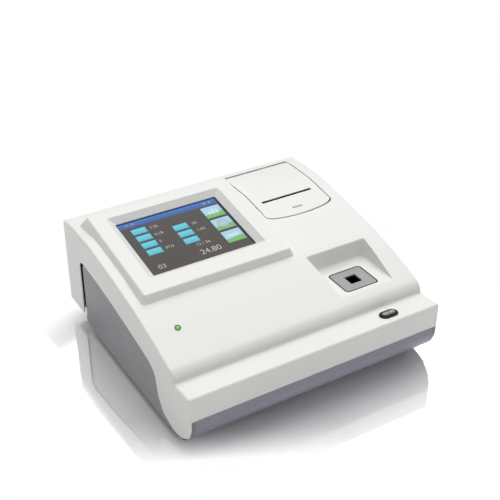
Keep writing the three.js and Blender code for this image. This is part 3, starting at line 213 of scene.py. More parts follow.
# Back
VENT_WIDTH = 3 * MM
VENT_HEIGHT = 26 * MM
VENT_PITCH = 7 * MM
VENT_COUNT = 9
VENT_FIRST = 36 * MM
VENT_BOTTOM = 42 * MM
SOCKET_GAP = 0.5 * MM
SOCKET_ROUND = 0.8 * MM
INLET_BORE = 3.2 * MM
INLET_PIN = 1 * MM
INLET_DEPTH = 9 * MM
SERIAL_RIM = (9 * MM, 4.5 * MM)
SERIAL_WALL = 0.6 * MM
SERIAL_DEPTH = 4 * MM
SERIAL_PITCH = 2.4 * MM
USB_HOLLOW = (9 * MM, 8 * MM)
USB_TONGUE = (5.6 * MM, 3.2 * MM)
USB_DEPTH = 8 * MM

ARC_STEPS = 8
CORNER_STEPS = 12
ROUND_STEPS = 48


# Meshes

def linked(name, data):
    made = bpy.data.objects.new(name, data)
    bpy.context.scene.collection.objects.link(made)
    return made


def mesh_object(name, points=(), faces=()):
    mesh = bpy.data.meshes.new(name)
    mesh.from_pydata([tuple(p) for p in points], [], faces)
    mesh.validate()
    return linked(name, mesh)


def edited(obj, change=None, sources=()):
    """The object with its own mesh, or the meshes of the sources, after a change."""
    work = bmesh.new()
    for source in sources or [obj]:
        work.from_mesh(source.data)
    if change:
        change(work)
    work.to_mesh(obj.data)
    work.free()
    return obj


def loft(name, rings, closed=False):
    """A closed body through rings of as many points: its ends are flat faces, or meet where it is closed."""
    count = len(rings[0])
    points = np.concatenate(rings)
    faces = []
    for k in range(len(rings) if closed else len(rings) - 1):
        here, there = k * count, (k + 1) % len(rings) * count
        for i in range(count):
            j = (i + 1) % count
            faces.append((here + i, here + j, there + j, there + i))
    if not closed:
        faces.append(tuple(reversed(range(count))))
        faces.append(tuple(range((len(rings) - 1) * count, len(rings) * count)))
    return face_outwards(mesh_object(name, points, faces))


def face_outwards(obj):
    def turn_faces(work):
        bmesh.ops.recalc_face_normals(work, faces=work.faces)
        if work.calc_volume(signed=True) < 0:
            bmesh.ops.reverse_faces(work, faces=work.faces)

    return edited(obj, turn_faces)


def evaluated_mesh(obj):
    bpy.context.view_layer.update()
    return bpy.data.meshes.new_from_object(obj.evaluated_get(bpy.context.evaluated_depsgraph_get()))


def baked(obj):
    """The object with its modifiers turned into plain mesh."""
    old, mesh = obj.data, evaluated_mesh(obj)
    obj.modifiers.clear()
    obj.data = mesh
    bpy.data.meshes.remove(old)
    return obj


def split(obj):
    """The body with its many-sided faces in triangles, which the cuts and joins that follow leave sound."""
    def triangles(work):
        bmesh.ops.triangulate(work, faces=[face for face in work.faces if len(face.verts) > 4])

    return edited(obj, triangles)


def merged(obj, distance, sources=()):
    return edited(obj, lambda work: bmesh.ops.remove_doubles(work, verts=work.verts, dist=distance), sources)


def boolean(target, operation, *tools):
    for tool in tools:
        step = target.modifiers.new(operation.lower(), "BOOLEAN")
        step.operation = operation
        step.solver = "MANIFOLD"
        step.object = tool
        baked(target)
    for tool in tools:
        bpy.data.objects.remove(tool)
    return target


def joined(target, *tools):
    return boolean(target, "UNION", *tools)


def cut(target, *tools):
    return boolean(target, "DIFFERENCE", *tools)


def kept_within(target, *tools):
    return boolean(target, "INTERSECT", *tools)


def smooth(obj, degrees=28):
    """Smooth shading with crisp edges, and normals that follow the large faces."""
    for face in obj.data.polygons:
        face.use_smooth = True
    obj.data.set_sharp_from_angle(angle=math.radians(degrees))
    weights = obj.modifiers.new("weighted_normals", "WEIGHTED_NORMAL")
    weights.keep_sharp = True
    return baked(obj)


def place(obj, matrix):
    obj.data.transform(matrix)
    return face_outwards(obj) if matrix.determinant() < 0 else obj


def solid_copy(node):
    """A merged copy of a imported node, for the cuts and joins of a finer piece."""
    return merged(mesh_object(node + "_copy"), 0.0001 * MM, [frame["nodes"][node]])


def gathered(name, *parts):
    """One mesh of several bodies, each with its own finish: parts are pairs of an object and a finish."""
    work = bmesh.new()
    mesh = bpy.data.meshes.new(name)
    for index, (part, finish) in enumerate(parts):
        start = len(work.faces)
        work.from_mesh(part.data)
        work.faces.ensure_lookup_table()
        for face in work.faces[start:]:
            face.material_index = index
        mesh.materials.append(finishes[finish])
        bpy.data.objects.remove(part)
    work.to_mesh(mesh)
    work.free()
    return linked(name, mesh)


def together(name, *parts):
    """Several bodies as one mesh."""
    made = edited(mesh_object(name), sources=parts)
    for part in parts:
        bpy.data.objects.remove(part)
    return made


def side_matrix(side):
    """Turns an outline in [y, z] and its height to the side of the case that the height points to."""
    return Matrix(((0, 0, side, 0), (1, 0, 0, 0), (0, 1, 0, 0), (0, 0, 0, 1)))


TO_THE_BACK = Matrix(((-1, 0, 0, 0), (0, 0, 1, 0), (0, 1, 0, 0), (0, 0, 0, 1)))
STANDING = Matrix(((1, 0, 0, 0), (0, 0, -1, 0), (0, 1, 0, 0), (0, 0, 0, 1)))


def mm(*values):
    """Lengths or points given in millimetres."""
    return np.array(values) * MM


def middle_of(node):
    low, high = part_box(node)
    return (low + high) / 2


# Outlines, as arrays of 2-D points that run counter-clockwise

def arc(centre, radius, start, stop, steps=ARC_STEPS // 2):
    """Points on an arc, with its angles in quarter turns."""
    angles = np.linspace(start, stop, steps + 1) * math.pi / 2
    return np.array(centre) + radius * np.column_stack([np.cos(angles), np.sin(angles)])


def rounded_rectangle(low, high, radius, steps=CORNER_STEPS):
    left, right, front, rear = low[0] + radius, high[0] - radius, low[1] + radius, high[1] - radius
    centres = [(right, rear), (left, rear), (left, front), (right, front)]
    return np.concatenate([arc(centre, radius, k, k + 1, steps) for k, centre in enumerate(centres)])


def centred_rectangle(width, height, radius, steps=CORNER_STEPS):
    return rounded_rectangle((-width / 2, -height / 2), (width / 2, height / 2), radius, steps)


def grown_rectangle(low, high, spread, radius):
    return rounded_rectangle((low[0] - spread, low[1] - spread), (high[0] + spread, high[1] + spread), radius)


def circle(radius, steps=ROUND_STEPS):
    return arc((0, 0), radius, 0, 4, steps)[:-1]


def unit(vectors):
    length = np.linalg.norm(vectors, axis=-1, keepdims=True)
    return vectors / np.where(length == 0, 1, length)


def outward(points, closed=True):
    """The normal at each point, to the right of the way the outline runs, and longer at a corner."""
    before, after = np.roll(points, 1, axis=0), np.roll(points, -1, axis=0)
    if not closed:
        before[0], after[-1] = points[0], points[-1]
    run_in, run_out = unit(points - before), unit(after - points)
    along = unit(run_in + run_out)
    normal = np.stack([along[:, 1], -along[:, 0]], axis=1)
    half_turn = np.clip((run_in * run_out).sum(axis=1), -1, 1)
    at_end = (np.abs(run_in).sum(axis=1) == 0) | (np.abs(run_out).sum(axis=1) == 0)
    return normal * np.where(at_end, 1, 1 / np.sqrt(np.maximum((1 + half_turn) / 2, 0.2)))[:, None]


def offset(points, distance, closed=True):
    return points + outward(points, closed) * np.reshape(distance, (-1, 1))


def with_height(points, height):
    return np.column_stack([points, np.broadcast_to(height, len(points))])


def in_side_plane(points, x):
    """Points of [y, z] put at x."""
    return np.column_stack([np.broadcast_to(x, len(points)), points])


def flat_outline(node, axis, value):
    """The outline of the flat face that a node has at a coordinate, counter-clockwise."""
    mesh = frame["nodes"][node].data
    places = np.array([v.co for v in mesh.vertices])
    others = [a for a in range(3) if a != axis]
    keys = [tuple(key) for key in np.round(places / (0.01 * MM)).astype(int)]
    spots = {}
    edges = {}
    for face in mesh.polygons:
        if all(abs(places[v][axis] - value) < 0.01 * MM for v in face.vertices):
            for v in face.vertices:
                spots.setdefault(keys[v], places[v][others])
            ring = [keys[v] for v in face.vertices]
            edges.update(dict.fromkeys(zip(ring, ring[1:] + ring[:1])))
    border = {a: b for a, b in edges if (b, a) not in edges}
    ring = [next(iter(border))]
    while border[ring[-1]] != ring[0]:
        ring.append(border[ring[-1]])
    points = np.array([spots[key] for key in ring])
    area = np.sum(points[:, 0] * np.roll(points[:, 1], -1) - points[:, 1] * np.roll(points[:, 0], -1))
    points = points if area > 0 else points[::-1]
    return points[np.abs(turns(points)) > 0.3]


def turns(points):
    run_in = points - np.roll(points, 1, axis=0)
    run_out = np.roll(points, -1, axis=0) - points
    cross = run_in[:, 0] * run_out[:, 1] - run_in[:, 1] * run_out[:, 0]
    return np.degrees(np.arctan2(cross, (run_in * run_out).sum(axis=1)))


def arc_corner(before, corner, after, radius, steps=ARC_STEPS):
    """The corner as an arc that meets both its sides."""
    run_in, run_out = unit(before - corner), unit(after - corner)
    half = math.acos(np.clip(np.dot(run_in, run_out), -1, 1)) / 2
    reach = radius / math.tan(half)
    centre = corner + unit(run_in + run_out) * radius / math.sin(half)
    first, last = corner + run_in * reach - centre, corner + run_out * reach - centre
    swing = math.atan2(first[0] * last[1] - first[1] * last[0], np.dot(first, last))
    start = math.atan2(first[1], first[0])
    return arc(centre, radius, start / (math.pi / 2), (start + swing) / (math.pi / 2), steps)


def flowing(points, straight=14 * MM, step=1.5 * MM):
    """A smooth line through the points, with their long stretches kept straight."""
    runs = np.diff(points, axis=0)
    lengths = np.linalg.norm(runs, axis=1)
    runs = runs / lengths[:, None]
    tangents = np.array([runs[0], *runs])
    for i in range(1, len(points) - 1):
        if max(lengths[i - 1], lengths[i]) > straight:
            tangents[i] = runs[i - 1] if lengths[i - 1] > lengths[i] else runs[i]
        else:
            tangents[i] = unit(runs[i - 1] * lengths[i] + runs[i] * lengths[i - 1])
    line = [points[:1]]
    for i, length in enumerate(lengths):
        t = np.linspace(0, 1, max(1, int(round(length / step))) + 1)[1:, None]
        there = 3 * t**2 - 2 * t**3
        line.append((1 - there) * points[i] + there * points[i + 1]
                    + length * ((t**3 - 2 * t**2 + t) * tangents[i] + (t**3 - t**2) * tangents[i + 1]))
    return np.concatenate(line)


def moulded_outline(points, radii, corner_turn=32):
    """An outline with its sharp corners as arcs, of the radius for their place, and flowing lines between."""
    sharp = np.flatnonzero(np.abs(turns(points)) > corner_turn)
    arcs = [arc_corner(points[i - 1], points[i], points[(i + 1) % len(points)], radii(points[i]))
            for i in sharp]
    pieces = []
    for k, i in enumerate(sharp):
        j, after = sharp[(k + 1) % len(sharp)], arcs[(k + 1) % len(sharp)]
        between = [points[n % len(points)] for n in range(i + 1, j if j > i else j + len(points))]
        pieces += [arcs[k], flowing(np.array([arcs[k][-1], *between, after[0]]))[1:-1]]
    return np.clip(np.concatenate(pieces), points.min(axis=0), points.max(axis=0))


# Bodies from outlines

def stack(name, *levels):
    """A body through outlines at their heights."""
    return loft(name, [with_height(outline, height) for outline, height in levels])


def prism(name, outline, low, high):
    return stack(name, (outline, low), (outline, high))


def side_prism(name, outline, x_low, x_high):
    return loft(name, [in_side_plane(outline, x_low), in_side_plane(outline, x_high)])


def slab(name, outline, low, high, low_round=0.0, high_round=0.0, draft=0.0):
    """A plate from an outline at its low face, with rounded edges and walls that may lean inwards."""
    def ring(radius, angle, height):
        inset = radius * (1 - math.sin(angle)) + draft * (height - low)
        return with_height(offset(outline, -inset), height)

    up = np.linspace(0, math.pi / 2, ARC_STEPS // 2 + 1)
    low_turns, high_turns = up[0 if low_round else -1:], up[0 if high_round else -1:][::-1]
    rings = [ring(low_round, a, low + low_round * (1 - math.cos(a))) for a in low_turns]
    rings += [ring(high_round, a, high - high_round * (1 - math.cos(a))) for a in high_turns]
    return loft(name, rings)


def turned(name, profile, steps=ROUND_STEPS):
    """A body turned about Z from [radius, height] points; a profile off the axis closes on itself."""
    profile = np.array(profile)
    if profile[:, 0].min() > 0 and np.allclose(profile[0], profile[-1]):
        rings = [with_height(np.outer(profile[:-1, 0], way), profile[:-1, 1]) for way in circle(1, steps)]
        return loft(name, rings, closed=True)
    return stack(name, *[(circle(radius, steps), height) for radius, height in profile])


def lettering(name, text, size, thickness, spot):
    """Raised figures, centred on a spot."""
    curve = bpy.data.curves.new(name, "FONT")
    curve.body = text
    curve.size = size
    curve.align_x = curve.align_y = "CENTER"
    curve.extrude = thickness / 2
    source = linked(name, curve)
    made = linked(name, evaluated_mesh(source))
    bpy.data.objects.remove(source)
    made.data.materials.clear()
    return place(merged(made, 0.0005 * MM), Matrix.Translation(spot))


# Nodes

class Term:
    """A socket that takes part in Python expressions; each operator adds its Math node."""

    def __init__(self, tree, socket):
        self.tree = tree
        self.socket = socket

    def also(self, output):
        return Term(self.tree, self.socket.node.outputs[output])

    def math(self, operation, *others, clamp=False):
        settings = {"operation": operation, "use_clamp": clamp}
        return self.tree.node("ShaderNodeMath", settings, dict(enumerate((self, *others))))

    def __add__(self, other):
        return self.math("ADD", other)

    def __sub__(self, other):
        return self.math("SUBTRACT", other)

    def __rsub__(self, other):
        return self.tree.node("ShaderNodeMath", {"operation": "SUBTRACT"}, {0: other, 1: self})

    def __mul__(self, other):
        return self.math("MULTIPLY", other)

    def __truediv__(self, other):
        return self.math("DIVIDE", other)

    __radd__ = __add__
    __rmul__ = __mul__

    def clamped(self):
        return self.math("MULTIPLY", 1.0, clamp=True)

    def maximum(self, other):
        return self.math("MAXIMUM", other)

    def above(self, edge, soft=0.0):
        """1 where the value is over an edge, with a soft step."""
        return ((self - (edge - soft / 2)) / soft).clamped() if soft else self.math("GREATER_THAN", edge)

    def between(self, low, high, soft=0.0):
        return self.above(low, soft) * (1 - self.above(high, soft))


class Nodes:
    """A node tree in the making: one way to add any node."""

    def feed(self, socket, value):
        if isinstance(value, Term):
            self.tree.links.new(value.socket, socket)
        elif hasattr(value, "__len__") and len(value) == 3 and socket.type == "RGBA":
            socket.default_value = (*value, 1)
        else:
            socket.default_value = value

    def node(self, kind, settings=None, values=None, output=0):
        made = self.tree.nodes.new(kind)
        for key, value in (settings or {}).items():
            if key == "stops":
                self.set_stops(made.color_ramp, value)
            else:
                setattr(made, key, value)
        for key, value in (values or {}).items():
            self.feed(made.inputs[key], value)
        return Term(self, made.outputs[output])

    @staticmethod
    def set_stops(ramp, stops):
        while len(ramp.elements) < len(stops):
            ramp.elements.new(1)
        for element, (position, colour) in zip(ramp.elements, stops):
            element.position = position
            element.color = (*colour, 1)


class Finish(Nodes):
    """A material: the shader's own sockets and the patterns that feed them."""

    def __init__(self, name, shader="ShaderNodeBsdfPrincipled"):
        self.material = bpy.data.materials.new(name)
        self.material.use_nodes = True
        self.tree = self.material.node_tree
        self.tree.nodes.clear()
        self.output = self.tree.nodes.new("ShaderNodeOutputMaterial")
        self.shader = self.tree.nodes.new(shader)
        self.tree.links.new(self.shader.outputs[0], self.output.inputs["Surface"])

    def set(self, **values):
        """Feeds the shader's sockets, with words joined by a low line."""
        for key, value in values.items():
            self.feed(self.shader.inputs[key.replace("_", " ").title().replace("Ior", "IOR")], value)

    def place(self):
        return self.node("ShaderNodeTexCoord", output="Object")

    def sides(self, spot=None):
        """The coordinates of a spot apart, as X with the others beside it."""
        return self.node("ShaderNodeSeparateXYZ", None, {0: spot or self.place()})

    def along(self, turn=(0, 0, 0), scale=(1, 1, 1)):
        """Object coordinates turned and stretched."""
        values = {"Vector": self.place(), "Rotation": turn, "Scale": scale}
        return self.node("ShaderNodeMapping", None, values)

    def noise(self, scale, detail=2.0, roughness=0.5, at=None):
        values = {"Vector": at or self.place(), "Scale": scale, "Detail": detail, "Roughness": roughness}
        return self.node("ShaderNodeTexNoise", None, values, "Fac")

    def cells(self, scale, **settings):
        return self.node("ShaderNodeTexVoronoi", settings, {"Vector": self.place(), "Scale": scale})

    def mix(self, factor, first, second):
        return self.node("ShaderNodeMix", {"data_type": "RGBA"}, {0: factor, 6: first, 7: second}, 2)

    def ramp(self, factor, stops):
        return self.node("ShaderNodeValToRGB", {"stops": stops}, {"Fac": factor})

    def bump(self, height, distance):
        values = {"Height": height, "Distance": distance, "Strength": 1.0}
        self.feed(self.shader.inputs["Normal"], self.node("ShaderNodeBump", None, values))


class Recipe(Nodes):
    """A Geometry Nodes tree with named inputs, which grows plain mesh from a starting mesh."""

    def __init__(self, name, **inputs):
        self.tree = bpy.data.node_groups.new(name, "GeometryNodeTree")
        self.keys = {}
        for label, kind in {"geometry": "Geometry", "finish": "Material", **inputs}.items():
            socket = self.tree.interface.new_socket(label, in_out="INPUT", socket_type="NodeSocket" + kind)
            self.keys[label] = socket.identifier
        self.tree.interface.new_socket("geometry", in_out="OUTPUT", socket_type="NodeSocketGeometry")
        self.source = self.tree.nodes.new("NodeGroupInput")

    def given(self, label):
        return Term(self, self.source.outputs[label])

    def sizes(self, **labels):
        """The named inputs for the sockets of a node, with words joined by a low line."""
        return {key.replace("_", " "): self.given(label) for key, label in labels.items()}

    def points(self):
        return self.node("GeometryNodeMeshToPoints", None, {0: self.given("geometry")})

    def piece(self):
        return self.node("GeometryNodeObjectInfo", None, {"Object": self.given("piece")}, "Geometry")

    def turn(self):
        return self.node("GeometryNodeInputNamedAttribute", {"data_type": "FLOAT_VECTOR"}, {"Name": "turn"})

    def instances(self, points, piece, **turn):
        values = {"Points": points, "Instance": piece, **turn}
        self.end(self.node("GeometryNodeInstanceOnPoints", None, values))

    def end(self, geometry):
        real = self.node("GeometryNodeRealizeInstances", None, {0: geometry})
        values = {"Geometry": real, "Material": self.given("finish")}
        dressed = self.node("GeometryNodeSetMaterial", None, values)
        self.tree.links.new(dressed.socket, self.tree.nodes.new("NodeGroupOutput").inputs[0])

    def grown(self, start, finish, **values):
        step = start.modifiers.new(self.tree.name, "NODES")
        step.node_group = self.tree
        for label, value in {"finish": finishes[finish], **values}.items():
            step[self.keys[label]] = value
        return baked(start)


# Finishes

def shade(colour, factor):
    return tuple(channel * factor for channel in colour)


def moulded(name, colour, roughness, grain=0.012 * MM, specular=0.5):
    """Moulded plastic: a fine spark-eroded grain, faint flow clouds and fine scuffs in the gloss."""
    finish = Finish(name)
    clouds = finish.noise(14, 3)
    flecks = finish.noise(900, 2, 0.6)
    tone = finish.ramp(clouds, [(0.3, shade(colour, 0.975)), (0.7, colour)])
    speckled = finish.mix(flecks * 0.06, tone, shade(colour, 0.8))
    scuffs = finish.noise(55, 5, 0.65).above(0.62, 0.1)
    finish.set(base_color=speckled, roughness=roughness + (clouds - 0.5) * 0.12 + scuffs * 0.05)
    finish.set(specular_ior_level=specular)
    finish.bump(finish.cells(1900) * 0.5 + flecks, grain)
    return finish.material


def metal(name, colour, roughness, brushed=(1, 1, 1), metallic=1.0):
    """Bare metal with fine lines along one way and faint stains in the gloss."""
    finish = Finish(name)
    lines = finish.noise(1200, 3, 0.6, finish.along(scale=brushed))
    stains = finish.noise(60, 4)
    tone = finish.mix(lines * 0.25, colour, shade(colour, 0.75))
    gloss = roughness + (stains - 0.5) * 0.15 + (lines - 0.5) * 0.1
    finish.set(base_color=tone, metallic=metallic, roughness=gloss)
    finish.bump(lines, 0.004 * MM)
    return finish.material


def board():
    """Solder mask over fine copper tracks, with bare pads."""
    finish = Finish("circuit_board")
    tracks = (finish.cells(70, distance="MANHATTAN") * 38).math("SINE").above(0.35, 0.2)
    pads = finish.cells(230).above(0.22, 0.03)
    mask = finish.mix(tracks * 0.7, (0.008, 0.085, 0.036), (0.02, 0.2, 0.085))
    coloured = finish.mix(1 - pads, mask, (0.55, 0.5, 0.36))
    finish.set(base_color=coloured, metallic=(1 - pads) * 0.8, roughness=0.32 + finish.noise(300, 2) * 0.15)
    finish.bump(tracks * 0.6 + pads, 0.03 * MM)
    return finish.material


def fibre(name, colour, along):
    """Paper or card: short fibres, faint mottling and a dull surface."""
    finish = Finish(name)
    fibres = finish.noise(1500, 4, 0.7, finish.along(scale=along))
    mottle = finish.noise(120, 3)
    tone = finish.mix(fibres * 0.35, colour, shade(colour, 0.82))
    finish.set(base_color=finish.mix(mottle * 0.2, tone, shade(colour, 0.9)), roughness=0.82 + fibres * 0.12)
    finish.set(specular_ior_level=0.25)
    finish.bump(fibres, 0.02 * MM)
    return finish.material


def lit(name, colour, glow, strength):
    """A moulded lens with light behind it: brighter in patches, under a smooth skin. Also used to paint a
    glow on a part that is no lamp.
    """
    finish = Finish(name)
    depth = finish.noise(420, 2)
    finish.set(base_color=finish.mix(depth, shade(colour, 0.8), colour), roughness=0.18 + depth * 0.08)
    finish.set(emission_color=finish.mix(depth, shade(glow, 0.8), glow), emission_strength=strength)
    finish.bump(depth, 0.01 * MM)
    return finish.material


def clear(name):
    finish = Finish(name)
    waves = finish.noise(300, 2)
    finish.set(base_color=finish.mix(waves, (0.86, 0.9, 0.92), (0.94, 0.97, 0.98)))
    finish.set(roughness=0.03 + waves * 0.05, transmission_weight=0.85, ior=1.5)
    finish.bump(waves, 0.002 * MM)
    return finish.material


def heater_film():
    """Amber film with a bright track that goes to and fro."""
    finish = Finish("heater_film")
    track = (finish.sides() * 1800).math("SINE").above(0.2, 0.3)
    tone = finish.mix(track, (0.36, 0.12, 0.02), (0.5, 0.36, 0.2))
    finish.set(base_color=tone, metallic=track * 0.7, roughness=0.3 + finish.noise(200, 2) * 0.2)
    finish.bump(track, 0.03 * MM)
    return finish.material


SCREEN_GROUND = (0.052, 0.042, 0.037)
SCREEN_BAR = (0.026, 0.115, 0.38)
SCREEN_TILE = (0.1, 0.53, 0.66)
SCREEN_TILE_EDGE = (0.02, 0.16, 0.24)
SCREEN_SKY = (0.36, 0.62, 0.76)
SCREEN_FIELD = (0.16, 0.46, 0.13)
SCREEN_BORDER = (0.008, 0.016, 0.035)
SCREEN_INK = (0.3, 0.3, 0.28)
TILE_WIDTH = 15.5
TILE_HEIGHT = 8
TILE_PITCH = 11.6
TILE_COLUMNS = [(-47, 21.5, 4), (-6, 9.9, 3)]
BUTTON_COLUMN = (33.5, 54.5)
BUTTON_ROWS = [(13.4, 31.4), (-8.2, 9.8), (-29.8, -11.8)]


def screen_picture():
    """The lit display under its glass: a bar, tiles beside their figures, and three picture buttons."""
    finish = Finish("screen_glass")
    spot = finish.sides(finish.node("ShaderNodeTexCoord", output="UV"))
    across = (spot - 0.5) * (SCREEN_WIDTH / MM)
    up = (spot.also("Y") - 0.5) * (SCREEN_HEIGHT / MM)

    def area(x_low, x_high, y_low, y_high, soft=0.3):
        return across.between(x_low, x_high, soft) * up.between(y_low, y_high, soft)

    def length(x, y):
        return ((across - x).math("POWER", 2) + (up - y).math("POWER", 2)).math("SQRT")

    picture = finish.mix(finish.noise(40, 2) * 0.3, SCREEN_GROUND, shade(SCREEN_GROUND, 0.8))
    shades = [(0, shade(SCREEN_BAR, 0.75)), (0.55, SCREEN_BAR), (1, shade(SCREEN_BAR, 1.5))]
    bar = finish.ramp((up - 33) / 9, shades)
    picture = finish.mix(area(-56, 56, 33.6, 42.2), picture, bar)
    for left, top, count in TILE_COLUMNS:
        for i in range(count):
            low = top - i * TILE_PITCH
            edge = area(left - 0.5, left + TILE_WIDTH + 0.7, low - 0.9, low + TILE_HEIGHT + 0.4)
            picture = finish.mix(edge, picture, SCREEN_TILE_EDGE)
            gloss = finish.mix((up - low) / TILE_HEIGHT, shade(SCREEN_TILE, 0.85), shade(SCREEN_TILE, 1.15))
            picture = finish.mix(area(left, left + TILE_WIDTH, low, low + TILE_HEIGHT), picture, gloss)
    left, right = BUTTON_COLUMN
    middle = (left + right) / 2
    for low, high in BUTTON_ROWS:
        horizon = (up - low - (across - left) * 0.1 - 5.5).above(0, 1.5)
        view = finish.mix(horizon, SCREEN_FIELD, SCREEN_SKY)
        picture = finish.mix(area(left, right, low, high), picture, view)
    ring = length(middle, sum(BUTTON_ROWS[1]) / 2)
    picture = finish.mix(ring.between(2.6, 6.2, 0.6) * 0.8, picture, (0.3, 0.33, 0.35))
    picture = finish.mix(ring.between(3.6, 4.6, 0.6), picture, (0.6, 0.64, 0.66))
    low = BUTTON_ROWS[0][0] + 5.5
    for i, tall in enumerate([5, 8, 6.5]):
        x = middle - 5.5 + i * 4.2
        picture = finish.mix(area(x, x + 2.6, low, low + tall), picture, (0.66, 0.74, 0.78))
    low = BUTTON_ROWS[2][0] + 8.6
    picture = finish.mix(area(middle - 6.5, middle + 6.5, low, low + 3), picture, (0.62, 0.72, 0.74))
    picture = finish.mix(area(-56.6, 55.4, -42.4, 41.6, 0.4), SCREEN_BORDER, picture)
    finish.set(base_color=(0.012, 0.013, 0.015), emission_color=picture, emission_strength=1.0)
    finish.set(roughness=0.28 + finish.noise(500, 2) * 0.06, specular_ior_level=0.1)
    finish.bump(finish.noise(2600, 1), 0.001 * MM)
    return finish.material


WHITE = (0.80, 0.80, 0.775)
BLUE_GREY = (0.26, 0.265, 0.32)
PANEL_GREY = (0.215, 0.218, 0.236)

MOULDED = {
    "white_plastic": (WHITE, 0.4),
    "grey_plastic": (BLUE_GREY, 0.45),
    "panel_plastic": (PANEL_GREY, 0.36),
    "dark_plastic": ((0.006, 0.006, 0.007), 0.5, 0.012 * MM, 0.15),
    "mid_grey_plastic": ((0.11, 0.111, 0.114), 0.42),
    "mark_grey": ((0.75, 0.75, 0.75), 0.5),
    "grip_grey": ((0.3, 0.3, 0.295), 0.5),
    "natural_plastic": ((0.58, 0.54, 0.44), 0.5),
    "rubber": ((0.02, 0.02, 0.021), 0.85, 0.03 * MM, 0.25),
}
METALS = {
    "steel": ((0.5, 0.51, 0.52), 0.3),
    "satin_metal": ((0.3, 0.303, 0.315), 0.42, (1, 12, 12)),
    "black_metal": ((0.02, 0.021, 0.023), 0.5),
    "plate_metal": ((0.25, 0.253, 0.262), 0.5, (1, 12, 12), 0.35),
    "display_case": ((0.42, 0.43, 0.44), 0.4, (12, 1, 12)),
    "brass": ((0.6, 0.42, 0.16), 0.3),
    "gold": ((0.75, 0.56, 0.22), 0.25),
}
LIT = {
    "screen_ink": ((0.02, 0.02, 0.02), SCREEN_INK, 1.0),
    "green_lens": ((0.12, 0.4, 0.04), (0.2, 0.5, 0.12), 0.45),
    # The ring round the status light is dark plastic given a painted green glow of the light; it is no lamp.
    "green_ring": ((0.06, 0.15, 0.03), (0.05, 0.14, 0.02), 0.5),
}
FIBRES = {"paper": ((0.84, 0.83, 0.8), (1, 0.2, 0.2)), "card": ((0.42, 0.31, 0.2), (1, 1, 1))}

finishes = {"circuit_board": board(), "screen_glass": screen_picture(), "clear_lens": clear("clear_lens"),
            "heater_film": heater_film()}
for maker, kinds in ((moulded, MOULDED), (metal, METALS), (lit, LIT), (fibre, FIBRES)):
    finishes.update({kind: maker(kind, *values) for kind, values in kinds.items()})


# Geometry Nodes recipes for what repeats

def scattered_pieces():
    """A piece at each point, turned by the point's own turn and by a chance spin about its axis."""
    recipe = Recipe("scattered_pieces", piece="Object", spin="Float", seed="Int")
    chance = recipe.node("FunctionNodeRandomValue", {"data_type": "FLOAT"},
                         {2: 0.0, 3: recipe.given("spin"), "Seed": recipe.given("seed")}, 1)
    about = recipe.node("ShaderNodeCombineXYZ", None, {"Z": chance})
    turns = {0: recipe.turn(), 1: about}
    spun = recipe.node("FunctionNodeRotateRotation", {"rotation_space": "LOCAL"}, turns)
    recipe.instances(recipe.points(), recipe.piece(), Rotation=spun)
    return recipe


def round_rods():
    recipe = Recipe("round_rods", radius="Float", length="Float", sides="Int")
    sizes = recipe.sizes(Vertices="sides", Radius="radius", Depth="length")
    rod = recipe.node("GeometryNodeMeshCylinder", None, sizes, "Mesh")
    recipe.instances(recipe.points(), rod, Rotation=recipe.turn())
    return recipe


def row_of_pieces():
    recipe = Recipe("row_of_pieces", piece="Object", count="Int", pitch="Vector", first="Vector")
    sizes = recipe.sizes(Count="count", Offset="pitch", Start_Location="first")
    recipe.instances(recipe.node("GeometryNodeMeshLine", {"mode": "OFFSET"}, sizes), recipe.piece())
    return recipe


def wound_sheet():
    """A sheet wound about Z in a spiral."""
    lengths = dict.fromkeys(("rounds", "inner", "outer", "width", "thickness"), "Float")
    recipe = Recipe("wound_sheet", **lengths, steps="Int")
    sizes = recipe.sizes(Resolution="steps", Rotations="rounds", Start_Radius="inner", End_Radius="outer")
    spiral = recipe.node("GeometryNodeCurveSpiral", None, {**sizes, "Height": 0.0})
    upright = recipe.node("GeometryNodeSetCurveNormal", {"mode": "Z_UP"}, {0: spiral})
    section = recipe.sizes(Width="thickness", Height="width")
    profile = recipe.node("GeometryNodeCurvePrimitiveQuadrilateral", None, section)
    ends = {"Curve": upright, "Profile Curve": profile, "Fill Caps": True}
    recipe.end(recipe.node("GeometryNodeCurveToMesh", None, ends))
    return recipe


scatter_recipe = scattered_pieces()
rod_recipe = round_rods()
row_recipe = row_of_pieces()
winding_recipe = wound_sheet()


def points_object(name, spots, turn_all=(0, 0, 0)):
    made = mesh_object(name, spots)
    layer = made.data.attributes.new("turn", "FLOAT_VECTOR", "POINT")
    layer.data.foreach_set("vector", np.ravel([turn_all] * len(spots)))
    return made


def scatter(name, spots, piece, finish, turn_all=(0, 0, 0), spin=0.0, seed=1):
    start = points_object(name, spots, turn_all)
    made = scatter_recipe.grown(start, finish, piece=piece, spin=spin, seed=seed)
    bpy.data.objects.remove(piece)
    return made


def rods(name, spots, radius, low, high, sides=ROUND_STEPS):
    """Upright rods at [x, y] spots."""
    start = points_object(name, [(x, y, (low + high) / 2) for x, y in spots])
    return rod_recipe.grown(start, "steel", radius=radius, length=high - low, sides=sides)


def row(name, piece, finish, count, pitch, first):
    start = mesh_object(name)
    made = row_recipe.grown(start, finish, piece=piece, count=count, pitch=pitch, first=first)
    bpy.data.objects.remove(piece)
    return made


# Lines of the case, in [y, z]

case_low, case_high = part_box("top_cover")
FRONT = case_low.y
HALF = case_high.x


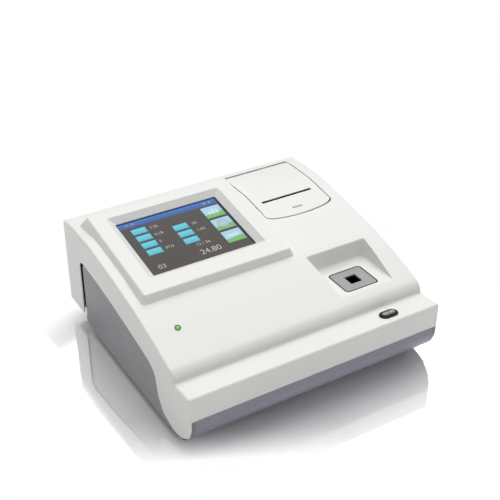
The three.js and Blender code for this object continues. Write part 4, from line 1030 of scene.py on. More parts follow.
def side_corners():
    """The side outline, with the small steps at the rear top of its arch drawn out to one corner."""
    points = flat_outline("top_cover", 0, -HALF)
    points = np.roll(points, -np.argmax(points.sum(axis=1)), axis=0)
    under = points[(points[:, 1] < LEG_TOP) & (points[:, 0] > 0)]
    rear = under[:, 0].min()
    near = (np.abs(points[:, 0] - rear) < 5.2 * MM) & (np.abs(points[:, 1] - ARCH_STEPS_HEIGHT) < 15 * MM)
    steps = np.flatnonzero(near)
    first, last = steps[0], steps[-1]
    run = points[first] - points[first - 1]
    top = points[first][1] + (rear - points[first][0]) * run[1] / run[0]
    return np.concatenate([points[:first], [(rear, top)], points[last + 1:]]), rear


side_points, ARCH_REAR = side_corners()


def case_corner(point):
    y, z = point[0] - FRONT, point[1]
    if y < 1 * MM:
        return FRONT_TOP_ROUND
    if z < LEG_TOP:
        return LEG_ROUND
    if abs(point[0] - ARCH_REAR) < 1 * MM:
        return ARCH_ROUND
    return REAR_TOP_ROUND if y > case_high.y - FRONT - 1 * MM else LEDGE_REAR_ROUND


side_line = moulded_outline(side_points, case_corner)


def top_stretch():
    """The top of the side outline, from the front face to the back, as y that grows."""
    ordered = np.roll(side_line, -np.argmax(side_line[:, 1] - 3 * side_line[:, 0]), axis=0)[::-1]
    line = ordered[: np.argmax(ordered[:, 0] + 0.2 * ordered[:, 1]) + 1]
    return line[np.argsort(line[:, 0], kind="stable")]


def arch_stretch():
    """The edge of the arch, from the front of the leg's foot round to the foot of the rear leg."""
    y, z = side_line.T
    foot = np.argmin(np.hypot(y - ARCH_REAR, z - z[y > 0].min()))
    ordered = np.roll(side_line, -foot - 1, axis=0)
    y, z = ordered.T
    low = np.flatnonzero((z < LEG_TOP) & (y > FRONT + FIELD_START) & (y < 0))
    return ordered[low[0]:]


top_line = top_stretch()
arch_line = arch_stretch()


def surface(y):
    return np.interp(y, top_line[:, 0], top_line[:, 1])


def values_of(items, field, width, kind=float):
    values = np.empty(len(items) * width, kind)
    items.foreach_get(field, values)
    return values.reshape(-1, width) if width > 1 else values


def skin_normals(obj):
    """Gives the faces that lie on the case's long top skin that skin's own normals, right up to each cut."""
    mesh = obj.data
    normals = values_of(mesh.corner_normals, "vector", 3)
    points = values_of(mesh.vertices, "co", 3)[values_of(mesh.loops, "vertex_index", 1, int)]
    faces = values_of(mesh.polygons, "normal", 3)
    faces = np.repeat(faces, values_of(mesh.polygons, "loop_total", 1, int), axis=0)
    up = unit(-outward(top_line, closed=False))
    skin = np.zeros_like(points)
    for k in (0, 1):
        skin[:, k + 1] = np.interp(points[:, 1], top_line[:, 0], up[:, k])
    skin = unit(skin)
    on_skin = np.abs(points[:, 2] - surface(points[:, 1])) < 0.03 * MM
    on_skin &= (np.abs(points[:, 0]) < HALF - EDGE_ROUND + 0.01 * MM) & ((faces * skin).sum(axis=1) > 0.985)
    normals[on_skin] = skin[on_skin]
    mesh.normals_split_custom_set(normals.tolist())
    return obj


def face_frame(node, depth):
    """A frame on the largest level face of a node, with its origin that far below the face."""
    mesh = frame["nodes"][node].data
    areas = {}
    for face in mesh.polygons:
        if face.normal.z > 0.5:
            spot = tuple(round(value, 3) for value in face.normal)
            areas[spot] = areas.get(spot, Vector()) + face.normal * face.area
    up = max(areas.values(), key=lambda total: total.length).normalized()
    ahead = up.cross(Vector((1, 0, 0))).normalized()
    turn = Matrix((Vector((1, 0, 0)), ahead, up)).transposed()
    local = np.array([turn.inverted() @ v.co for v in mesh.vertices])
    top = local[local[:, 2] > local[:, 2].max() - 0.01 * MM]
    centre = Vector((top[:, 0].min() + top[:, 0].max(), top[:, 1].min() + top[:, 1].max(), 0)) / 2
    centre.z = local[:, 2].max() - depth
    return Matrix.Translation(turn @ centre) @ turn.to_4x4()


SCREEN_FACE = -(RECESS_DEPTH + LIP + GLASS_GAP)
screen_frame = face_frame("touch_glass", SCREEN_FACE)
button_frame = face_frame("power_button", BUTTON_PROUD)
light_frame = face_frame("light_board", -LIGHT_BOARD_DEPTH)


def hugging_tool(name, outline, low, rim, way, draft=0.0, floor_round=0.0, square=False):
    """An upright tool whose wall turns through a rounded rim where it meets the case's top.

    The rim turns outwards where way is 1, to cut an opening, and inwards where it is -1, to trim a lid. The
    corners of a square one keep their radius all the way up.
    """
    normal = np.sign(outline - outline.mean(axis=0)) if square else outward(outline)

    def at(shift, height):
        return with_height(outline + normal * np.reshape(shift, (-1, 1)), height)

    meet = surface(outline[:, 1])
    for _ in range(4):
        meet = surface((outline + normal * (draft * np.maximum(meet - low, 0))[:, None])[:, 1])
    height = np.maximum(meet - low, 0)
    rim = np.minimum(rim, 0.4 * height)
    fillet = np.minimum(floor_round, 0.4 * height)
    angles = np.linspace(0, math.pi / 2, ARC_STEPS + 1)[0 if floor_round else -1:]
    rings = [at(-fillet * (1 - math.sin(turn)), low + fillet * (1 - math.cos(turn))) for turn in angles]
    lean = draft * height
    beyond = outline + normal * (lean + way * rim)[:, None]
    over = np.maximum(surface(beyond[:, 1]), low)
    for t in np.linspace(0, 1, ARC_STEPS + 1):
        a, b, c = (1 - t) ** 2, 2 * t * (1 - t), t**2
        shift = a * (lean - draft * rim) + b * lean + c * (lean + way * rim)
        rings.append(at(shift, a * (low + height - rim) + b * (low + height) + c * over))
    rings += [with_height(beyond, over + 0.02 * MM), with_height(beyond, case_high.z + REACH)]
    return loft(name, rings)


def bowed_outline(spread, front_spread):
    """The lid's outline, grown: its front bows forward in the middle and rounds at its ends."""
    half = (lid_high.x - lid_low.x) / 2 + spread
    points = [(LID_CENTRE + half, lid_high.y + spread), (LID_CENTRE - half, lid_high.y + spread)]
    for share in -np.cos(np.linspace(0, math.pi, ROUND_STEPS + 1)):
        bow = LID_BOW * share**2 + LID_CORNER * abs(share)**LID_CORNER_POWER
        points.append((LID_CENTRE + half * share, lid_low.y - front_spread + bow))
    return np.array(points)


# White cover

def strips(low, high):
    """Places between two ends, near enough together for smooth shading on a long face."""
    return list(np.linspace(low, high, int((high - low) / STRIP) + 1)[1:-1])


def body_shell():
    normal = outward(side_line)
    rear = side_line[:, 0] > FRONT + 200 * MM
    facing = np.maximum(normal[:, 1], np.where(rear, normal[:, 0], -normal[:, 0]))
    radius = PLATE_ROUND + (EDGE_ROUND - PLATE_ROUND) * np.clip(facing * 1.4, 0, 1)
    for _ in range(6):
        radius = (np.roll(radius, 1) + 2 * radius + np.roll(radius, -1)) / 4
    rings = []
    for turn in np.linspace(0, math.pi / 2, ARC_STEPS + 1):
        line = side_line - normal * (radius * (1 - math.sin(turn)))[:, None]
        rings.append(in_side_plane(line, HALF - radius * (1 - math.cos(turn))))
    between = [in_side_plane(side_line, x) for x in reversed(strips(EDGE_ROUND - HALF, HALF - EDGE_ROUND))]
    return loft("top_cover_shell", rings + between + [ring * (-1, 1, 1) for ring in reversed(rings)])


def inside_line(depth):
    line = offset(top_line, depth, closed=False)
    line = line[(line[:, 0] > FRONT + depth) & (line[:, 0] < case_high.y - 0.5 * MM)]
    return line[np.concatenate([[True], np.diff(line[:, 0]) > 0])]


def hollow_space():
    line = inside_line(WALL)
    ahead, behind = FRONT - REACH, case_high.y + REACH
    outline = [
        (ahead, -REACH), (behind, -REACH), (behind, line[-1][1]), *line[::-1],
        (FRONT + WALL, line[0][1]), (FRONT + WALL, FACE_BOTTOM), (ahead, FACE_BOTTOM),
    ]
    return side_prism("hollow", np.array(outline), -HALF + WALL, HALF - WALL)


def arch_rebate(side):
    """The space behind the arch's thin lip."""
    grown = offset(arch_line, -ARCH_REBATE, closed=False)
    outline = np.array([*grown, (grown[-1][0], -REACH), (grown[0][0], -REACH)])
    inner, outer = HALF - WALL - 0.2 * MM, HALF - ARCH_LIP
    return place(prism("arch_rebate", outline, inner, outer), side_matrix(side))


def under_the_skin():
    line = inside_line(WALL / 2)
    rear = case_high.y - 0.6 * MM
    outline = [(line[0][0], BOSS_SPLIT), (rear, BOSS_SPLIT), (rear, line[-1][1]), *line[::-1]]
    return side_prism("under_skin", np.array(outline), -HALF + WALL / 2, HALF - WALL / 2)


def platform_outline(inset, spread):
    low = (-SCREEN_WIDTH / 2 - PLATFORM_SIDE, -SCREEN_HEIGHT / 2 - PLATFORM_FRONT)
    high = (SCREEN_WIDTH / 2 + PLATFORM_SIDE, SCREEN_HEIGHT / 2 + PLATFORM_REAR)
    corner = max(PLATFORM_CORNER - inset + PLATFORM_CORNER_SPREAD * spread, 0.3 * MM)
    return grown_rectangle(low, high, spread - inset, corner)


def rounded_rim(radius, lean, outline):
    """Outlines up a rounded edge that starts at a leaning wall: each from its way inwards, at its drop."""
    reach = radius * math.tan((math.pi / 2 - lean) / 2)
    return [(outline(reach - radius * math.cos(turn)), -radius * (1 - math.sin(turn)))
            for turn in np.linspace(lean, math.pi / 2, ARC_STEPS + 1)]


def platform():
    """The raised platform with its top edge rounded between the level top and the leaning sides."""
    foot = (platform_outline(0, PLATFORM_DRAFT * PLATFORM_SKIRT), -PLATFORM_SKIRT)
    rim = rounded_rim(PLATFORM_ROUND, math.atan(PLATFORM_DRAFT), lambda inset: platform_outline(inset, 0))
    return place(stack("platform", foot, *rim), screen_frame)


def platform_hollow():
    low = (platform_outline(WALL, PLATFORM_DRAFT * PLATFORM_SKIRT), -PLATFORM_SKIRT - WALL)
    return place(stack("platform_hollow", low, (platform_outline(WALL, 0), -WALL)), screen_frame)


def screen_outline(flare, corner):
    return centred_rectangle(SCREEN_WIDTH + 2 * flare, SCREEN_HEIGHT + 2 * flare, corner)


def funnel():
    low = (screen_outline(WALL, RECESS_CORNER + WALL), -RECESS_DEPTH - LIP)
    high = (screen_outline(RECESS_FLARE + WALL, RECESS_CORNER + WALL), -WALL / 2)
    return place(stack("funnel", low, high), screen_frame)


def funnel_void():
    """The flared opening over the display, with a rounded rim and a short upright throat below."""
    def flared(inset):
        flare = RECESS_FLARE + inset
        return screen_outline(flare, RECESS_CORNER + flare * 0.2)

    throat = screen_outline(0, RECESS_CORNER)
    rim = rounded_rim(RECESS_ROUND, math.atan2(RECESS_FLARE, RECESS_DEPTH), flared)
    levels = [(throat, -RECESS_DEPTH - REACH), (throat, -RECESS_DEPTH), *rim, (rim[-1][0], REACH)]
    return place(stack("funnel_void", *levels), screen_frame)


display_spots = [(x * DISPLAY_POST_SPOT[0], y * DISPLAY_POST_SPOT[1]) for x in (-1, 1) for y in (-1, 1)]


def display_posts():
    posts = rods("display_posts", display_spots, DISPLAY_POST, DISPLAY_POST_FOOT, -WALL / 2)
    return place(posts, screen_frame)


def display_post_holes():
    foot = DISPLAY_POST_FOOT - FIT
    holes = rods("display_holes", display_spots, SCREW_SHANK + FIT, foot, DISPLAY_SCREW_TOP)
    return place(holes, screen_frame)


plate_low, plate_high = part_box("well_plate")
WELL_LEFT = middle_of("well_plate").x - WELL_PLATE_INSET
WELL_FLOOR = plate_high.z + PLATE_SINK


def well_outline(spread):
    low, high = (WELL_LEFT, FRONT - REACH), (WELL_LEFT + WELL_WIDTH, FRONT + WELL_REAR)
    return grown_rectangle(low, high, spread, WELL_CORNER + spread)


def well_tub():
    low, high = WELL_FLOOR - WALL, case_high.z
    tub = stack("well_tub", (well_outline(WALL), low), (well_outline(WALL + WELL_DRAFT * (high - low)), high))
    return kept_within(tub, under_the_skin())


def well_void():
    outline = well_outline(0)
    return hugging_tool("well_void", outline, WELL_FLOOR, WELL_ROUND, 1, WELL_DRAFT, WELL_FLOOR_ROUND, True)


def plate_outline(spread):
    return grown_rectangle(plate_low, plate_high, spread, PLATE_CORNER + spread)


def plate_hole():
    return prism("plate_hole", plate_outline(PLATE_GAP), WELL_FLOOR - REACH, WELL_FLOOR + 0.5 * MM)


lid_low, lid_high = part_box("printer_lid")
LID_CENTRE = (lid_low.x + lid_high.x) / 2


def lid_opening():
    outline = bowed_outline(LID_SEAM, LID_FRONT_SEAM)
    return hugging_tool("lid_opening", outline, case_high.z - 30 * MM, 0.3 * MM, 1)


def rear_groove():
    outline = rounded_rectangle((lid_low.x - REAR_GROOVE_OVERSHOOT, lid_high.y + 0.1 * MM),
                                (lid_high.x + LID_SEAM, lid_high.y + REAR_GROOVE), 0.4 * MM)
    return hugging_tool("rear_groove", outline, surface(lid_high.y) - REAR_GROOVE_DEPTH, 0.3 * MM, 1)


def pill(spread):
    breadth = BUTTON_BREADTH + 2 * spread
    return centred_rectangle(BUTTON_LENGTH + 2 * spread, breadth, breadth / 2)


def button_hole():
    return place(prism("button_hole", pill(2 * FIT + RING_SLEEVE), -REACH / 2, REACH), button_frame)


def light_hole():
    radius = LIGHT_LENS + 2 * FIT + LIGHT_RING_BAND / 2
    return place(prism("light_hole", circle(radius), -WALL - FIT, REACH), light_frame)


def top_cover():
    cover = joined(body_shell(), platform())
    cut(cover, hollow_space(), platform_hollow())
    inner = kept_within(solid_copy("top_cover"), under_the_skin())
    joined(cover, funnel(), well_tub(), inner, display_posts())
    cut(cover, funnel_void(), well_void(), plate_hole(), lid_opening(), rear_groove(), display_post_holes(),
        button_hole(), light_hole(), arch_rebate(-1), arch_rebate(1))
    cover.name = "cover_shell"
    return skin_normals(smooth(cover))


# Side panels and base tray

def bottom_stretch(outline):
    """The low edge of an outline, from its front to its back."""
    start = np.argmax(outline[:, 1] - 3 * outline[:, 0])
    ordered = np.roll(outline, -start, axis=0)
    return ordered[: np.argmax(ordered[:, 0] - 0.5 * ordered[:, 1]) + 1]


panel_low, panel_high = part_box("side_panel_right")


def panel_field(panel_line):
    """The part of a side panel that fills the arch, with a gap that widens round its rear corner."""
    share = np.clip((arch_line[:, 0] - (ARCH_REAR - FIELD_GAP_RUN)) / FIELD_GAP_RUN, 0, 1) ** 2
    upper = offset(arch_line, FIELD_GAP + (FIELD_REAR_GAP - FIELD_GAP) * share, closed=False)
    low = bottom_stretch(panel_line)
    upper = upper[upper[:, 1] > np.interp(upper[:, 0], low[:, 0], low[:, 1]) + 0.1 * MM]
    lower = low[(low[:, 0] > upper[0][0]) & (low[:, 0] < upper[-1][0] - 0.2 * MM)]
    corner = (upper[-1][0], np.interp(upper[-1][0], low[:, 0], low[:, 1]))
    outline = np.array([*lower, corner, *upper[::-1]])
    outline = outline[np.hypot(*(outline - np.roll(outline, 1, axis=0)).T) > 0.05 * MM]
    return slab("panel_field", outline, panel_high.x - 0.5 * MM, panel_high.x + FIELD_RAISE, 0, PANEL_ROUND)


def side_panel(side, name):
    outline = flat_outline("side_panel_right", 0, panel_high.x)
    outline = moulded_outline(outline, lambda point: 1 * MM)
    plate = slab("side_plate", outline, panel_low.x, panel_high.x, 0, PLATE_ROUND)
    panel = joined(split(plate), split(panel_field(outline)))
    panel.name = name
    return smooth(place(panel, side_matrix(side)))


tray_low, tray_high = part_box("base_tray")
corners = [end + "_" + side for end in ("front", "rear") for side in ("left", "right")]
boss_spots = [middle_of("case_screw_" + corner)[:2] for corner in corners]
foot_spots = [middle_of("foot_" + corner)[:2] for corner in corners]
rear_screw_spots = [middle_of("rear_screw_" + side) for side in ("left", "right")]
CASE_SCREW_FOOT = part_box("case_screw_rear_right")[0].z


def base_tray():
    outline = moulded_outline(flat_outline("base_tray", 0, tray_low.x), lambda point: 0.6 * MM)
    shell = slab("tray_shell", outline, tray_low.x, tray_high.x, PANEL_ROUND, PANEL_ROUND)
    low = bottom_stretch(outline)
    filled = np.array([*low, (low[-1][0], 60 * MM), (low[0][0], 60 * MM)])
    space = side_prism("tray_space", filled, tray_low.x - REACH, REACH - tray_low.x)
    inner = kept_within(solid_copy("base_tray"), space)
    tray = split(joined(split(place(shell, side_matrix(1))), split(inner)))
    head_room = CASE_SCREW_FOOT + SCREW_HEAD_HEIGHT + FIT
    cut(tray, rods("screw_wells", boss_spots, SCREW_HEAD + FIT, -REACH, head_room),
        rods("screw_holes", boss_spots, SCREW_SHANK + FIT, -REACH, REACH),
        rods("foot_holes", foot_spots, FOOT_PLUG + FIT, -REACH, TRAY_FLOOR + FIT))
    return smooth(tray)


def feet():
    profile = [
        *mm((0.6, 0.5), (3.0, 0.5), (3.4, 0), (4.8, 0), (5.2, 0.5), (6.2, 0.5), (6.6, 0)),
        *arc((FOOT_RADIUS - MM, MM), MM, -1, 0),
        *arc((FOOT_RADIUS - 0.4 * MM, FOOT_TOP - 0.4 * MM), 0.4 * MM, 0, 1),
        (FOOT_PLUG - 0.2 * MM, FOOT_TOP), (FOOT_PLUG - 0.2 * MM, TRAY_FLOOR + 0.4 * MM),
        (FOOT_PLUG + 0.1 * MM, TRAY_FLOOR + 0.9 * MM), (1.7 * MM, FOOT_TOP + FOOT_PLUG_LENGTH),
    ]
    spots = [(*spot, 0) for spot in foot_spots]
    return smooth(scatter("rubber_feet", spots, turned("foot", profile), "rubber", spin=1.0, seed=3))


def screw(length):
    """A pan-head screw with its head below: a cross recess, a collar and a threaded shank."""
    angles = np.linspace(0.2, math.pi / 2, 7)
    profile = [*np.column_stack([SCREW_HEAD * np.sin(angles), SCREW_DOME * (1 - np.cos(angles))]),
               (SCREW_HEAD, SCREW_HEAD_HEIGHT - 0.2 * MM), (SCREW_HEAD - 0.2 * MM, SCREW_HEAD_HEIGHT)]
    core = SCREW_SHANK - SCREW_THREAD
    for i in range(int((length - SCREW_HEAD_HEIGHT - 2 * MM) / SCREW_PITCH)):
        start = SCREW_HEAD_HEIGHT + 0.3 * MM + i * SCREW_PITCH
        profile += [(core, start), (SCREW_SHANK, start + SCREW_PITCH / 2)]
    body = split(turned("screw", [*profile, (core, length - 1.4 * MM), (0.5 * MM, length)], 24))
    for breadth, width in ((SCREW_CROSS, SCREW_CROSS_LENGTH), (SCREW_CROSS_LENGTH, SCREW_CROSS)):
        groove = centred_rectangle(breadth, width, 0.2 * MM, 3)
        cut(body, split(slab("cross", groove, -MM, SCREW_CROSS_DEPTH, draft=0.12)))
        split(body)
    return body


def case_screws():
    spots = [(*spot, CASE_SCREW_FOOT) for spot in boss_spots]
    return smooth(scatter("case_screws", spots, screw(20 * MM), "steel", spin=3.0, seed=5))


def rear_screws():
    low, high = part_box("rear_screw_right")
    spots = [(spot.x, high.y, spot.z) for spot in rear_screw_spots]
    made = scatter("rear_screws", spots, screw(high.y - low.y), "steel", (math.pi / 2, 0, 0), 3.0, 8)
    return smooth(made)


def display_screws():
    top = (screen_frame.inverted() @ face_frame("display_bracket", 0)).translation.z
    foot = top - 1.2 * MM - FIT - SCREW_HEAD_HEIGHT
    spots = [(x, y, foot) for x, y in display_spots]
    piece = screw(DISPLAY_SCREW_TOP - FIT - foot)
    return smooth(place(scatter("display_screws", spots, piece, "steel", spin=3.0, seed=11), screen_frame))


# Printer lid

def lid_features():
    """The knuckles and rails that hang below the lid's plate."""
    line = inside_line(WALL / 2)
    line = line[(line[:, 0] > lid_low.y - MM) & (line[:, 0] < lid_high.y + MM)]
    outline = np.array([(line[0][0], lid_low.z - MM), (line[-1][0], lid_low.z - MM), *line[::-1]])
    below = side_prism("below_lid", outline, lid_low.x - MM, lid_high.x + MM)
    return kept_within(solid_copy("printer_lid"), below)


def printer_lid():
    lower = offset(top_line, WALL, closed=False)
    reach = (top_line[:, 0] > lid_low.y - 3 * MM) & (top_line[:, 0] < lid_high.y + 1.2 * MM)
    outline = np.array([*lower[reach], *top_line[reach][::-1]])
    ends = [lid_low.x - MM, *strips(lid_low.x, lid_high.x), lid_high.x + MM]
    lid = loft("lid_shell", [in_side_plane(outline, x) for x in ends])
    kept_within(lid, hugging_tool("lid_trim", bowed_outline(0, 0), lid_low.z - MM, LID_ROUND, -1))
    joined(lid, lid_features(), grip_bar())
    left, right = LID_CENTRE - SLOT_WIDTH / 2, LID_CENTRE + SLOT_WIDTH / 2
    near, far = FRONT + SLOT_LINE - SLOT_OPENING / 2, FRONT + SLOT_LINE + SLOT_OPENING / 2
    slot = rounded_rectangle((left, near), (right, far), 0.5 * MM)
    top, wide = surface(FRONT + SLOT_LINE) - SLOT_LIP, far + SLOT_UNDERCUT
    behind = np.array([(near, top - REACH), (wide, top - REACH), (wide, top), (near, top)])
    cut(lid, hugging_tool("slot", slot, lid_low.z - REACH, 0.25 * MM, 1),
        side_prism("behind_slot", behind, left, right))
    return skin_normals(smooth(lid))


def grip_bar():
    line = np.array([(y, surface(y)) for y in FRONT + GRIP_LINE + np.linspace(-3, 3, 7) * MM])
    outline = np.array([*(line - (0, MM)), *(line + (0, GRIP_RAISE))[::-1]])
    bar = side_prism("grip_bar", outline, LID_CENTRE - GRIP_WIDTH, LID_CENTRE + GRIP_WIDTH)
    edge = centred_rectangle(GRIP_WIDTH, GRIP_BREADTH, GRIP_BREADTH / 2 - 0.01 * MM)
    edge = edge + (LID_CENTRE, FRONT + GRIP_LINE)
    return kept_within(bar, prism("grip_edge", edge, lid_low.z, case_high.z))


# Display glass and its figures

def touch_glass():
    outline = centred_rectangle(SCREEN_WIDTH + 4 * MM, SCREEN_HEIGHT + 4 * MM, MM)
    glass = slab("glass_plate", outline, SCREEN_FACE - GLASS_THICKNESS, SCREEN_FACE, 0.1 * MM, 0.1 * MM)
    layer = glass.data.uv_layers.new(name="screen")
    for loop in glass.data.loops:
        spot = glass.data.vertices[loop.vertex_index].co
        layer.data[loop.index].uv = (spot.x / SCREEN_WIDTH + 0.5, spot.y / SCREEN_HEIGHT + 0.5)
    return smooth(place(glass, screen_frame))


FIGURES = [
    ("7.35", 5.4, -23, 25.4), ("0.18", 5.4, -23, 13.8), ("5", 5.4, -27, 2.2), ("37.0", 5.4, -23, -9.4),
    ("26", 5.4, 17, 13.8), ("1.62", 5.4, 19, 2.2), ("08 : 45", 3.6, 45, 37.6), ("11 / 30", 3.6, -44, 37.6),
    ("12 / 36", 5.6, 10, -18.5), ("24.80", 10.5, 12, -31), ("03", 8.5, -43, -33),
]


def screen_figures():
    """The figures on the screen, from their height and place in mm."""
    parts = [lettering("figures", text, size * MM, 0.1 * MM, (x * MM, y * MM, SCREEN_FACE + 0.03 * MM))
             for text, size, x, y in FIGURES]
    return place(together("screen_figures", *parts), screen_frame)


# Power button

def button_ring():
    ring = split(slab("button_bezel", pill(RING_BAND + FIT), 0.05 * MM, RING_PROUD, 0, 0.5 * MM))
    joined(ring, split(prism("sleeve", pill(FIT + RING_SLEEVE), -RING_DEPTH, 0.5 * MM)))
    cut(split(ring), split(prism("bore", pill(FIT), -REACH, REACH)))
    return smooth(place(ring, button_frame))


def button_cap():
    cap = split(slab("cap", pill(0), -BUTTON_SINK, BUTTON_PROUD - 0.5 * MM, 0.3 * MM, 0.4 * MM))
    stem = centred_rectangle(STEM_WIDTH, STEM_WIDTH, 0.3 * MM)
    joined(cap, split(prism("stem", stem, -BUTTON_SINK - STEM_LENGTH, -BUTTON_SINK + 0.5 * MM)))
    top = slab("cap_top", pill(-0.7 * MM), BUTTON_PROUD - 0.6 * MM, BUTTON_PROUD - 0.08 * MM, 0, 0.35 * MM)
    marks = lettering("marks", "ON OFF", 3.7 * MM, 0.1 * MM, (0, 0, BUTTON_PROUD - 0.05 * MM))
    made = gathered("button_cap", (cap, "dark_plastic"), (top, "mid_grey_plastic"), (marks, "mark_grey"))
    return smooth(place(made, button_frame))


# Status light

def light_ring():
    inner, edge = LIGHT_LENS + FIT, 0.3 * MM
    outer, sleeve = inner + LIGHT_RING_BAND, inner + LIGHT_RING_BAND / 2
    profile = [
        (inner, edge), (inner, -3.2 * MM), (sleeve, -3.2 * MM), (sleeve, 0.05 * MM), (outer, 0.05 * MM),
        *arc((outer - edge, LIGHT_RING_PROUD - edge), edge, 0, 1), (inner + 0.2 * MM, LIGHT_RING_PROUD),
        (inner, edge),
    ]
    return smooth(place(turned("light_bezel", profile), light_frame))


def light_lens():
    dome = [(LIGHT_LENS * math.cos(a), 0.2 * MM + 0.8 * MM * math.sin(a)) for a in np.linspace(0, 1.48, 9)]
    stem = [(LIGHT_LENS + r * MM, h * MM) for r, h in (
        (-0.4, -7.6), (0, -7.2), (0, -1.6), (0.1, -1.4), (0.1, -1.1), (0, -0.9))]
    return smooth(place(turned("light_dome", [*stem, *dome]), light_frame))


# Sample recess

def well_plate():
    plate = slab("recess_plate", plate_outline(0), plate_low.z, plate_high.z, 0, 0.3 * MM)
    spot, top = (WELL_LEFT + WELL_PLATE_INSET, FRONT + BORE_LINE), plate_high.z
    levels = [(0, plate_low.z - MM), (0, top - 0.4 * MM), (0.15 * MM, top - 0.15 * MM), (0.4 * MM, top),
              (0.45 * MM, top + 0.1 * MM)]

    def hole(spread):
        side = CUVETTE_BORE + 2 * spread
        return centred_rectangle(side, side, 0.5 * MM + spread) + spot

    cut(plate, stack("square_hole", *[(hole(spread), height) for spread, height in levels]))
    return smooth(plate)


# Back

def back_outline(node, spread=0.0):
    low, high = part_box(node)
    return grown_rectangle((-high.x, low.z), (-low.x, high.z), spread, SOCKET_ROUND + spread)


def rear_panel():
    low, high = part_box("rear_panel")
    panel = slab("panel_plate", back_outline("rear_panel"), low.y, high.y, 0, 0.4 * MM)
    vent = slab("vent", centred_rectangle(VENT_WIDTH, VENT_HEIGHT, VENT_WIDTH / 2 - 0.01 * MM), 0, 6 * MM)
    first = (-VENT_FIRST, VENT_BOTTOM + VENT_HEIGHT / 2, low.y - MM)
    vents = row("vents", vent, "dark_plastic", VENT_COUNT, (-VENT_PITCH, 0, 0), first)
    spots = [(-spot.x, spot.z) for spot in rear_screw_spots]
    holes = rods("holes", spots, SCREW_SHANK + FIT, low.y - MM, high.y + MM)
    windows = [prism("window", back_outline(node, SOCKET_GAP), low.y - MM, high.y + MM)
               for node in ("power_inlet", "serial_port", "usb_port")]
    cut(panel, vents, holes, *windows)
    return smooth(place(panel, TO_THE_BACK))


def socket_body(node, front=0.0):
    low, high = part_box(node)
    body = slab(node + "_body", back_outline(node), low.y, high.y - front, 0.2 * MM, 0.3 * MM)
    return body, Vector((-middle_of(node).x, middle_of(node).z, high.y))


def around(outline, centre):
    return outline + (centre.x, centre.y)


def power_inlet():
    body, centre = socket_body("power_inlet")
    bore = [(INLET_BORE, -INLET_DEPTH), (INLET_BORE, -0.5 * MM), (INLET_BORE + 0.6 * MM, 0.1 * MM)]
    cut(body, place(turned("bore", bore), Matrix.Translation(centre)))
    tip = [(INLET_PIN * math.cos(a), -1.8 * MM + INLET_PIN * math.sin(a)) for a in np.linspace(0.2, 1.4, 5)]
    pin = turned("pin", [(INLET_PIN, -INLET_DEPTH - MM), (INLET_PIN, -1.8 * MM), *tip])
    strip = around(centred_rectangle(1.6 * MM, 0.5 * MM, 0.1 * MM), centre) + (0, INLET_BORE - 0.1 * MM)
    sleeve = prism("contact", strip, centre.z - INLET_DEPTH, centre.z - 2 * MM)
    made = gathered("inlet_socket", (body, "dark_plastic"), (place(pin, Matrix.Translation(centre)), "steel"),
                    (sleeve, "brass"))
    return smooth(place(made, TO_THE_BACK))


def serial_port():
    body, centre = socket_body("serial_port", SERIAL_DEPTH)
    back = centre.z
    face = back - SERIAL_DEPTH
    insets = (0, SERIAL_WALL, SERIAL_WALL + 0.2 * MM)
    outer, inner, filled = [around(d_outline(-inset), centre) for inset in insets]
    shell = prism("d_shell", outer, face - MM, back - 0.1 * MM)
    cut(shell, prism("d_space", inner, face + 0.4 * MM, back + MM))
    insert = prism("d_insert", filled, face - 0.5 * MM, face + 0.9 * MM)
    pins, nuts = [], []
    for side, count in ((1, 5), (-1, 4)):
        pin = turned("pin", [(0.45 * MM, 0), (0.45 * MM, 3.4 * MM), (0.3 * MM, 3.8 * MM)], 16)
        first = (centre.x - SERIAL_PITCH * (count - 1) / 2, centre.y + side * SERIAL_PITCH / 2, face)
        pins.append(row("pins", pin, "gold", count, (SERIAL_PITCH, 0, 0), first))
        nut = prism("nut", circle(2.4 * MM, 6), face - 0.2 * MM, back - 0.2 * MM)
        cut(nut, prism("thread", circle(1.3 * MM, 24), face + MM, back + MM))
        nuts.append(place(nut, Matrix.Translation((centre.x - side * 12.5 * MM, centre.y, 0))))
    parts = [(body, "satin_metal"), (shell, "satin_metal"), (insert, "dark_plastic"),
             (together("pins", *pins), "gold"), (together("nuts", *nuts), "steel")]
    return smooth(place(gathered("nine_pin_socket", *parts), TO_THE_BACK))


def d_outline(spread):
    """The shell of a nine-pin socket: wider at its top."""
    width, height = SERIAL_RIM[0] + spread, SERIAL_RIM[1] + spread
    lean = 0.9 * MM
    ends = np.array([(width, height), (-width, height), (-width + lean, -height), (width - lean, -height)])
    return np.concatenate([arc_corner(*ends[[i - 1, i, (i + 1) % 4]], 1.6 * MM) for i in range(4)])


def usb_port():
    body, centre = socket_body("usb_port")
    back = centre.z
    hollow = around(centred_rectangle(*USB_HOLLOW, 0.6 * MM), centre)
    cut(body, prism("hollow", hollow, back - USB_DEPTH, back + MM))
    outline = around(centred_rectangle(*USB_TONGUE, 0.3 * MM), centre)
    tongue = slab("tongue", outline, back - USB_DEPTH - MM, back - 1.5 * MM, 0, 0.3 * MM)
    contacts = []
    for side in (1, -1):
        contact = slab("contact", centred_rectangle(0.9 * MM, 0.3 * MM, 0.1 * MM, 3), 0, 5 * MM)
        first = (centre.x - 1.3 * MM, centre.y + side * USB_TONGUE[1] / 2, back - USB_DEPTH + 0.5 * MM)
        contacts.append(row("contacts", contact, "brass", 2, (2.6 * MM, 0, 0), first))
    made = gathered("usb_socket", (body, "satin_metal"), (tongue, "dark_plastic"),
                    (together("contacts", *contacts), "brass"))
    return smooth(place(made, TO_THE_BACK))


# Inside the printer: bodies turned about X

def across(node):
    """Where a node that turns about X is: its axis and its two ends."""
    low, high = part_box(node)
    middle = (low + high) / 2
    return Matrix.Translation((0, middle.y, middle.z)) @ side_matrix(1), low.x, high.x


